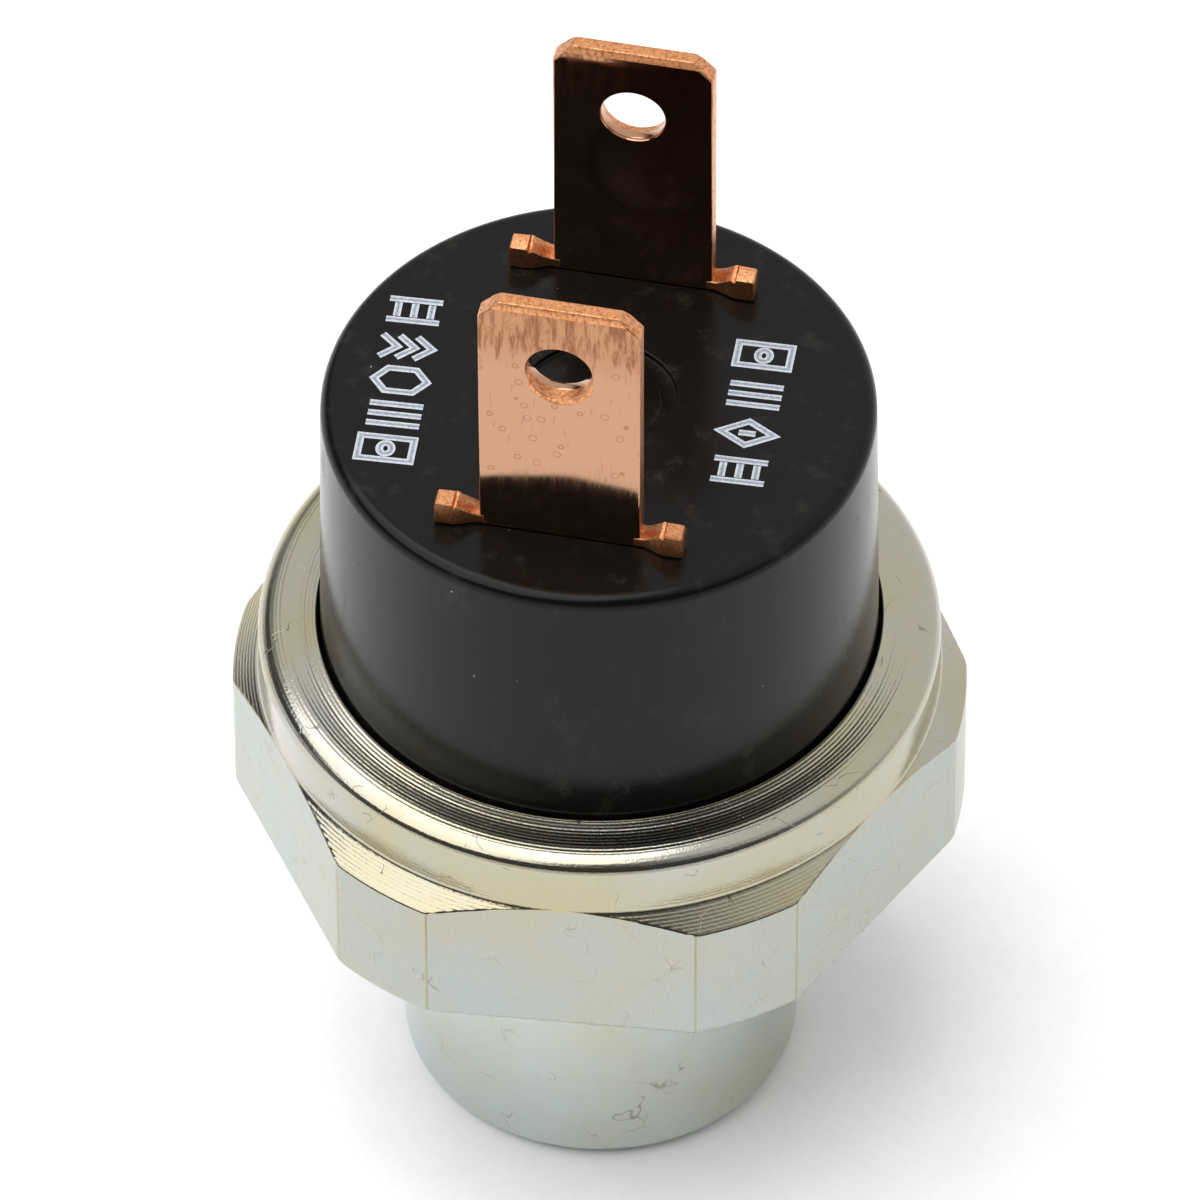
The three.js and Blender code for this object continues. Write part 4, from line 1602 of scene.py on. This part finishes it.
    def hole_tool(self) -> bpy.types.Object:
        """Makes the punch for the latch hole, flared where it enters and leaves.

        Returns:
            The object.
        """
        half, radius = self.thickness / 2, self.hole_radius
        height = self.layout.blade_top - self.hole_below_tip
        profile = [(radius + 0.2, -half - 0.2), (radius + 0.05, -half), (radius, -half + 0.07),
                   (radius, 0.02), (radius + 0.03, 0.07), (radius + 0.07, half),
                   (radius + 0.2, half + 0.2)]
        count = self.hole_columns
        turns = [TURN * i / count for i in range(count)]
        round_hole = [(math.cos(a), math.sin(a)) for a in turns]
        loops = [
            [(reach * c, self.plane + along, height + reach * s) for c, s in round_hole]
            for reach, along in profile
        ]
        points, faces = swept(loops, closed=False)
        bright = 3 * count  # the first zones are burnished by the punch, the rest is torn
        picks = [int(Strip.ROLLED if i < bright else Strip.SHEARED) for i in range(len(faces))]
        return make_piece("hole_tool", points, faces, (COPPER, SHEARED), picks)

    def burr(self) -> bpy.types.Object:
        """Makes the smear of metal that the punch dragged out under the hole.

        Returns:
            The object.
        """
        height = self.layout.blade_top - self.hole_below_tip
        face = self.plane + self.thickness / 2
        loops = []
        for i in range(self.burr_steps + 1):
            share = i / self.burr_steps
            angle = math.radians(self.burr_from + self.burr_sweep * share)
            full = math.sin(math.pi * share) ** 0.6
            reach = self.hole_radius + 0.07 + 0.2 * full
            wide, tall = 0.03 + 0.15 * full, 0.01 + 0.05 * full
            x, z = -reach * math.cos(angle), height + reach * math.sin(angle)
            out_x, out_z = -math.cos(angle), math.sin(angle)
            heap = ((-1, -0.05), (-0.6, tall * 0.8), (0, tall), (0.7, tall * 0.6), (1, -0.05))
            loops.append(
                [(x + out_x * wide * k, face + up, z + out_z * wide * k) for k, up in heap]
            )
        return make_piece("burr_tool", *swept(loops, closed=False), (SHEARED,))

    def rivet_tool(self) -> bpy.types.Object:
        """Makes the drill for the contact rivet's hole.

        Returns:
            The object.
        """
        radius, along = self.rivet_hole
        low = self.layout.foot_bottom
        turns = [TURN * i / self.rivet_columns for i in range(self.rivet_columns)]
        ring = [(radius * math.cos(a), along + radius * math.sin(a)) for a in turns]
        loops = [[(x, y, z) for x, y in ring] for z in (low - 1, low + self.thickness + 1)]
        return make_piece("rivet_tool", *swept(loops, closed=False), (SHEARED,))

    def build(self) -> None:
        """Makes, dresses and places the terminal."""
        strip = self.strip()
        for hand in (-1, 1):
            carve(strip, self.ear(hand), Carving.JOIN)
        carve(strip, self.burr(), Carving.JOIN)
        carve(strip, self.hole_tool(), Carving.CUT)
        carve(strip, self.rivet_tool(), Carving.CUT)
        strip.data.shade_smooth()
        strip.data.set_sharp_from_angle(angle=math.radians(self.sharp))
        strip.rotation_euler.z = self.layout.clocking + (0 if self.side > 0 else math.pi)
        even_shading(strip)
        place(strip, HOUSING, "copper_strip", self.node)


# ---------------------------------------------------------------- stamped marks


class Mark(Enum):
    """The plain geometric marks, each drawn in a box 2 wide and 1 high."""

    BARS = "bars"
    RING_IN_BOX = "ring in box"
    DIAMOND = "diamond"
    CHEVRONS = "chevrons"
    LADDER = "ladder"
    HEXAGON = "hexagon"

    def strokes(self) -> list[tuple[bool, list[Point]]]:
        """Lists the strokes that draw the mark.

        Returns:
            Whether each stroke is closed, and its points.
        """
        box = [(-0.95, -0.45), (0.95, -0.45), (0.95, 0.45), (-0.95, 0.45)]
        ring = [(0.22 * math.cos(TURN * i / 16), 0.22 * math.sin(TURN * i / 16)) for i in range(16)]
        hexagon = [(-0.95, 0), (-0.5, -0.46), (0.5, -0.46), (0.95, 0), (0.5, 0.46), (-0.5, 0.46)]
        drawn = {
            Mark.BARS: [(False, [(-0.95, y), (0.95, y)]) for y in (-0.4, 0.0, 0.4)],
            Mark.RING_IN_BOX: [(True, box), (True, ring)],
            Mark.DIAMOND: [
                (True, [(-0.95, 0), (0, -0.48), (0.95, 0), (0, 0.48)]),
                (False, [(-0.3, 0), (0.3, 0)]),
            ],
            Mark.CHEVRONS: [
                (False, [(x - 0.3, -0.45), (x + 0.3, 0), (x - 0.3, 0.45)])
                for x in (-0.62, 0.0, 0.62)
            ],
            Mark.LADDER: [(False, [(-0.95, y), (0.95, y)]) for y in (-0.42, 0.42)]
            + [(False, [(x, -0.28), (x, 0.28)]) for x in (-0.6, 0.0, 0.6)],
            Mark.HEXAGON: [(True, hexagon)],
        }
        return drawn[self]


@dataclass
class StampedMarks:
    """Two columns of plain geometric marks in ink on the base's top."""

    EDGE: ClassVar[str] = "ink_edge"
    layout: Layout
    size: tuple[float, float] = (1.1, 1.32)
    stroke: float = 0.29
    film: float = 0.02
    sunk: float = 0.01
    # place across the stroke, height as a share of the film, nearness to the stroke's edge
    ink_section: tuple[Corner, ...] = (
        (-1, -1, 1.0), (-1, 0.7, 1.0), (-0.62, 1, 0.85), (0, 0.85, 0.0), (0.62, 1, 0.85),
        (1, 0.7, 1.0), (1, -1, 1.0))
    left: tuple[Point, ...] = (
        (-7.53, -4.24), (-7.57, -2.40), (-7.73, -0.57), (-7.87, 1.21), (-7.98, 3.20))
    right: tuple[Point, ...] = ((6.08, -2.68), (5.99, -0.66), (5.89, 1.39), (5.82, 3.54))

    def ribbon(self, path: Sequence[Point], closed: bool) -> tuple[list, list, list]:
        """Makes one stroke as a thin ribbon with mitred corners.

        Args:
            path: the stroke's centre line.
            closed: whether it joins up.

        Returns:
            The points, the faces and how near each point is to the stroke's edge.
        """
        top = self.layout.base_top
        count = len(path)
        loops = []
        for i, here in enumerate(path):
            at = Vector(here)
            before = Vector(path[i - 1]) if closed or i else None
            after = Vector(path[(i + 1) % count]) if closed or i < count - 1 else None
            ways = [(b - a).normalized() for a, b in ((before, at), (at, after)) if a and b]
            normals = [Vector((-w.y, w.x)) for w in ways]
            across = sum(normals, Vector((0, 0))).normalized()
            across *= 1 / max(across.dot(normals[0]), 0.4)
            loop = []
            for share, lift, _ in self.ink_section:
                spot = at + across * (share * self.stroke / 2)
                height = lift * self.film if lift > 0 else -self.sunk
                loop.append((spot.x, spot.y, top + height))
            loops.append(loop)
        points, faces = swept(loops, closed)
        return points, faces, [edge for _, _, edge in self.ink_section] * count

    def column(self, name: str, centres: Sequence[Point], marks: Sequence[Mark]) -> None:
        """Makes and places one column of marks.

        Args:
            name: the piece's name.
            centres: where the marks go, square to the blades.
            marks: which mark goes at each place.
        """
        points: list = []
        faces: list = []
        edges: list[float] = []
        wide, high = self.size
        run = (Vector(centres[-1]) - Vector(centres[0])).normalized()
        side = Vector((run.y, -run.x))
        for centre, mark in zip(centres, marks):
            for closed, path in mark.strokes():
                line = [
                    tuple(Vector(centre) + side * (u * wide) + run * (v * high)) for u, v in path
                ]
                more, skin, near = self.ribbon(line, closed)
                faces += [[i + len(points) for i in face] for face in skin]
                points += more
                edges += near
        column = make_piece(name, points, faces, (INK,), turn=self.layout.clocking)
        near_edge = column.data.attributes.new(self.EDGE, "FLOAT", "POINT")
        near_edge.data.foreach_set("value", edges[: len(column.data.vertices)])
        place(column, HOUSING, "black_phenolic")

    def build(self) -> None:
        """Makes, dresses and places the marks."""
        self.column(
            "stamped_marks_left",
            self.left,
            (Mark.RING_IN_BOX, Mark.BARS, Mark.HEXAGON, Mark.CHEVRONS, Mark.LADDER),
        )
        self.column(
            "stamped_marks_right",
            self.right,
            (Mark.LADDER, Mark.DIAMOND, Mark.BARS, Mark.RING_IN_BOX),
        )


# ---------------------------------------------------------------- mechanism


@dataclass
class Mechanism:
    """Everything inside: pressure side, snap disc, push pin, contacts and return spring."""

    layout: Layout
    dressed: ClassVar[dict[str, Finish]] = {
        "inlet_snubber": SINTERED_BRONZE,
        "diaphragm_seal_ring": NITRILE,
        "diaphragm": POLYIMIDE,
        "diaphragm_backing_film": FLUOROPOLYMER,
        "piston_guide_ring": TURNED_BRASS,
        "pressure_piston": TURNED_BRASS,
        "disc_retainer_ring": TURNED_ZINC,
        "pin_guide_plate": TURNED_ZINC,
        "insulating_washer": FIBRE,
        "push_pin": CERAMIC,
        "base_gasket": NITRILE,
        "fixed_contact_front": SILVER,
        "fixed_contact_rear": SILVER,
        "contact_bridge": SHEARED,
        "moving_contact_front": SILVER,
        "moving_contact_rear": SILVER,
        "spring_seat": NYLON,
    }
    disc_thickness: float = 0.3
    disc_keep: float = 0.41
    wire: float = 0.5
    closed_pitch: float = 0.6
    active_turns: int = 3
    spring_keep: float = 0.892
    disc_rings: int = 24
    disc_columns: int = 96
    rim_inset: float = 0.04
    turn_steps: int = 40
    wire_sides: int = 14

    def dress(self, nodes: Mapping[str, bpy.types.Object]) -> None:
        """Gives the CAD nodes that stay their finishes.

        Args:
            nodes: the frame's nodes by name.
        """
        for name, finish in self.dressed.items():
            for slot in nodes[name].material_slots:
                slot.material = finish.material()
            log.info("%s: dressed as %s", name, finish.name())

    def snap_disc(self) -> bpy.types.Object:
        """Makes the dished disc with rounded rim.

        Returns:
            The object.
        """
        low, high = self.layout.disc_bottom, self.layout.disc_top
        radius, thick = self.layout.disc_radius, self.disc_thickness
        dish = high - thick - low
        shares = [i / self.disc_rings for i in range(self.disc_rings + 1)]
        under = [(radius * i / self.disc_rings, low + dish * share**2)
                 for i, share in enumerate(shares)]
        over = [(r, z + thick) for r, z in reversed(under)]
        rim = [(radius, under[-1][1] + thick * k) for k in (0.3, 0.7)]
        under[-1] = (radius - self.rim_inset, under[-1][1])
        over[0] = (radius - self.rim_inset, over[0][1])
        points, faces = lathe(under + rim + over, self.disc_columns)
        return make_piece("dished_snap_disc", points, faces, (SPRING_STEEL,))

    def return_spring(self) -> bpy.types.Object:
        """Makes the coil spring with a closed turn at each end.

        Returns:
            The object.
        """
        low, high = self.layout.spring_bottom, self.layout.spring_top
        wire, turns = self.wire / 2, self.active_turns + 2
        mean = self.layout.spring_radius - wire
        rise = high - low - 2 * wire
        pitch = (rise - 2 * self.closed_pitch) / self.active_turns
        loops = []
        for i in range(self.turn_steps * turns + 1):
            turned = i / self.turn_steps
            active = min(max(turned - 1, 0), self.active_turns)
            z = low + wire + (turned - active) * self.closed_pitch + active * pitch
            angle = TURN * turned
            out = Vector((math.cos(angle), math.sin(angle), 0))
            loop = []
            for k in range(self.wire_sides):
                a = TURN * k / self.wire_sides
                spot = out * (mean + wire * math.cos(a))
                loop.append((spot.x, spot.y, z + wire * math.sin(a)))
            loops.append(loop)
        points, faces = swept(loops, closed=False)
        return make_piece("coil_spring", points, faces, (SPRING_STEEL,), turn=self.layout.clocking)

    def build(self, nodes: Mapping[str, bpy.types.Object]) -> None:
        """Makes, dresses and places the inside.

        Args:
            nodes: the frame's nodes by name.
        """
        self.dress(nodes)
        disc = place(self.snap_disc(), HOUSING, "spring_steel", "snap_disc")
        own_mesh(disc)
        spring = place(self.return_spring(), HOUSING, "spring_steel", "return_spring")
        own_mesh(spring)


# ---------------------------------------------------------------- studio


@dataclass(frozen=True)
class Softbox:
    """One round studio light, aimed at the switch.

    Its direction is as seen from the switch; its distance and size are in metres.
    """

    name: str
    toward: tuple[float, float, float]
    distance: float
    size: Point
    watts: float
    mirrored: bool = True  # whether it shows in reflections


@dataclass
class Studio:
    """Pale floor, soft lights and the camera."""

    floor_size: float = 0.9  # metres, as are the other lengths here but lens and sensor
    floor_drop: float = 0.01  # millimetres under the spigot
    light_height: float = 0.02
    azimuth: float = math.radians(6.62)
    elevation: float = math.radians(47.10)
    roll: float = math.radians(-0.20)
    distance: float = 0.6
    aim: float = 0.015  # height on the axis that the camera turns about
    raise_by: float = 0.00644  # how far the camera then slides up its own upright
    lens: float = 453.0
    sensor: float = 36.0
    room: str = "#4A4A4A"
    horizon: str = "#FFFFFF"
    horizon_band: Point = (0.06, 0.30)  # sine of the elevation over which it fades out
    reflector: str = "#F8F8F8"
    reflector_side: tuple[float, float, float] = (0.35, 0.50, 0.79)
    reflector_band: Point = (0.3, 0.8)  # cosines between which it fades in
    boxes: tuple[Softbox, ...] = (
        Softbox("softbox_key", (-0.40, -0.10, 0.91), 0.7, (0.94, 0.94), 4.7),
        Softbox("softbox_fill", (-0.35, -0.15, 0.92), 0.9, (1.6, 1.6), 6.5, False),
    )

    def floor(self) -> None:
        """Makes the floor, a thin sheet of paper with its upper face under the spigot."""
        half, thick = self.floor_size / 2 / MM, 0.5
        ring = [(-half, -half), (half, -half), (half, half), (-half, half)]
        loops = [[(x, y, z) for x, y in ring] for z in (-thick, -self.floor_drop)]
        make_piece("studio_floor", *swept(loops, closed=False), (PAPER,))

    def lights(self) -> None:
        """Makes the softboxes and the sky."""
        for box in self.boxes:
            light = bpy.data.lights.new(box.name, "AREA")
            light.shape = "ELLIPSE"
            light.size, light.size_y = box.size
            light.energy = box.watts
            lamp = bpy.data.objects.new(box.name, light)
            lamp.visible_glossy = box.mirrored
            toward = Vector(box.toward).normalized()
            lamp.location = toward * box.distance + Vector((0, 0, self.light_height))
            lamp.rotation_euler = (-toward).to_track_quat("-Z", "Y").to_euler()
            bpy.context.scene.collection.objects.link(lamp)
        world = bpy.data.worlds.new("studio_sky")
        world.use_nodes = True
        tree = world.node_tree
        way = add_node(tree, "TexCoord").outputs["Generated"]
        height = add_node(tree, "SeparateXYZ", {}, {0: way}).outputs["Z"]
        low = between(tree, height, self.horizon_band, (1.0, 0.0), smooth=True)
        facing = add_node(
            tree,
            "VectorMath",
            {"operation": "DOT_PRODUCT", 1: Vector(self.reflector_side).normalized()},
            {0: way},
        ).outputs["Value"]
        lit = between(tree, facing, self.reflector_band, smooth=True)
        colour = blended(tree, lit, self.room, self.reflector)
        colour = blended(tree, low, colour, self.horizon)
        tree.links.new(colour, tree.nodes["Background"].inputs["Color"])
        bpy.context.scene.world = world

    def camera(self) -> None:
        """Makes the camera at the viewing angle and sets the plain view transform."""
        a, e = self.azimuth, self.elevation
        back = Vector((math.sin(a) * math.cos(e), -math.cos(a) * math.cos(e), math.sin(e)))
        right = Vector((math.cos(a), math.sin(a), 0))
        up = back.cross(right)
        rolled_right = right * math.cos(self.roll) + up * math.sin(self.roll)
        rolled_up = up * math.cos(self.roll) - right * math.sin(self.roll)
        lens = bpy.data.cameras.new("studio_camera")
        lens.lens, lens.sensor_width = self.lens, self.sensor
        lens.clip_start, lens.clip_end = 0.01, 10.0
        camera = bpy.data.objects.new("studio_camera", lens)
        spot = Vector((0, 0, self.aim)) + back * self.distance + rolled_up * self.raise_by
        camera.matrix_world = Matrix.Translation(spot) @ Matrix(
            (rolled_right, rolled_up, back)
        ).transposed().to_4x4()
        bpy.context.scene.collection.objects.link(camera)
        bpy.context.scene.camera = camera
        bpy.context.scene.view_settings.view_transform = "Standard"

    def build(self) -> None:
        """Makes the whole studio."""
        self.floor()
        self.lights()
        self.camera()
        log.info("studio: %d softboxes", len(self.boxes))


def main() -> None:
    """Loads the frame and builds every sub-assembly around it."""
    logging.basicConfig(level=logging.INFO, format="%(name)s: %(message)s")
    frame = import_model()
    layout = Layout.read(frame["record"])
    Studio().build()
    HexBody(layout).build()
    TerminalBase(layout).build()
    Terminal(layout, "blade_terminal_front", "terminal_front", -1).build()
    Terminal(layout, "blade_terminal_rear", "terminal_rear", 1).build()
    StampedMarks(layout).build()
    Mechanism(layout).build(frame["nodes"])


if __name__ == "__main__":
    main()
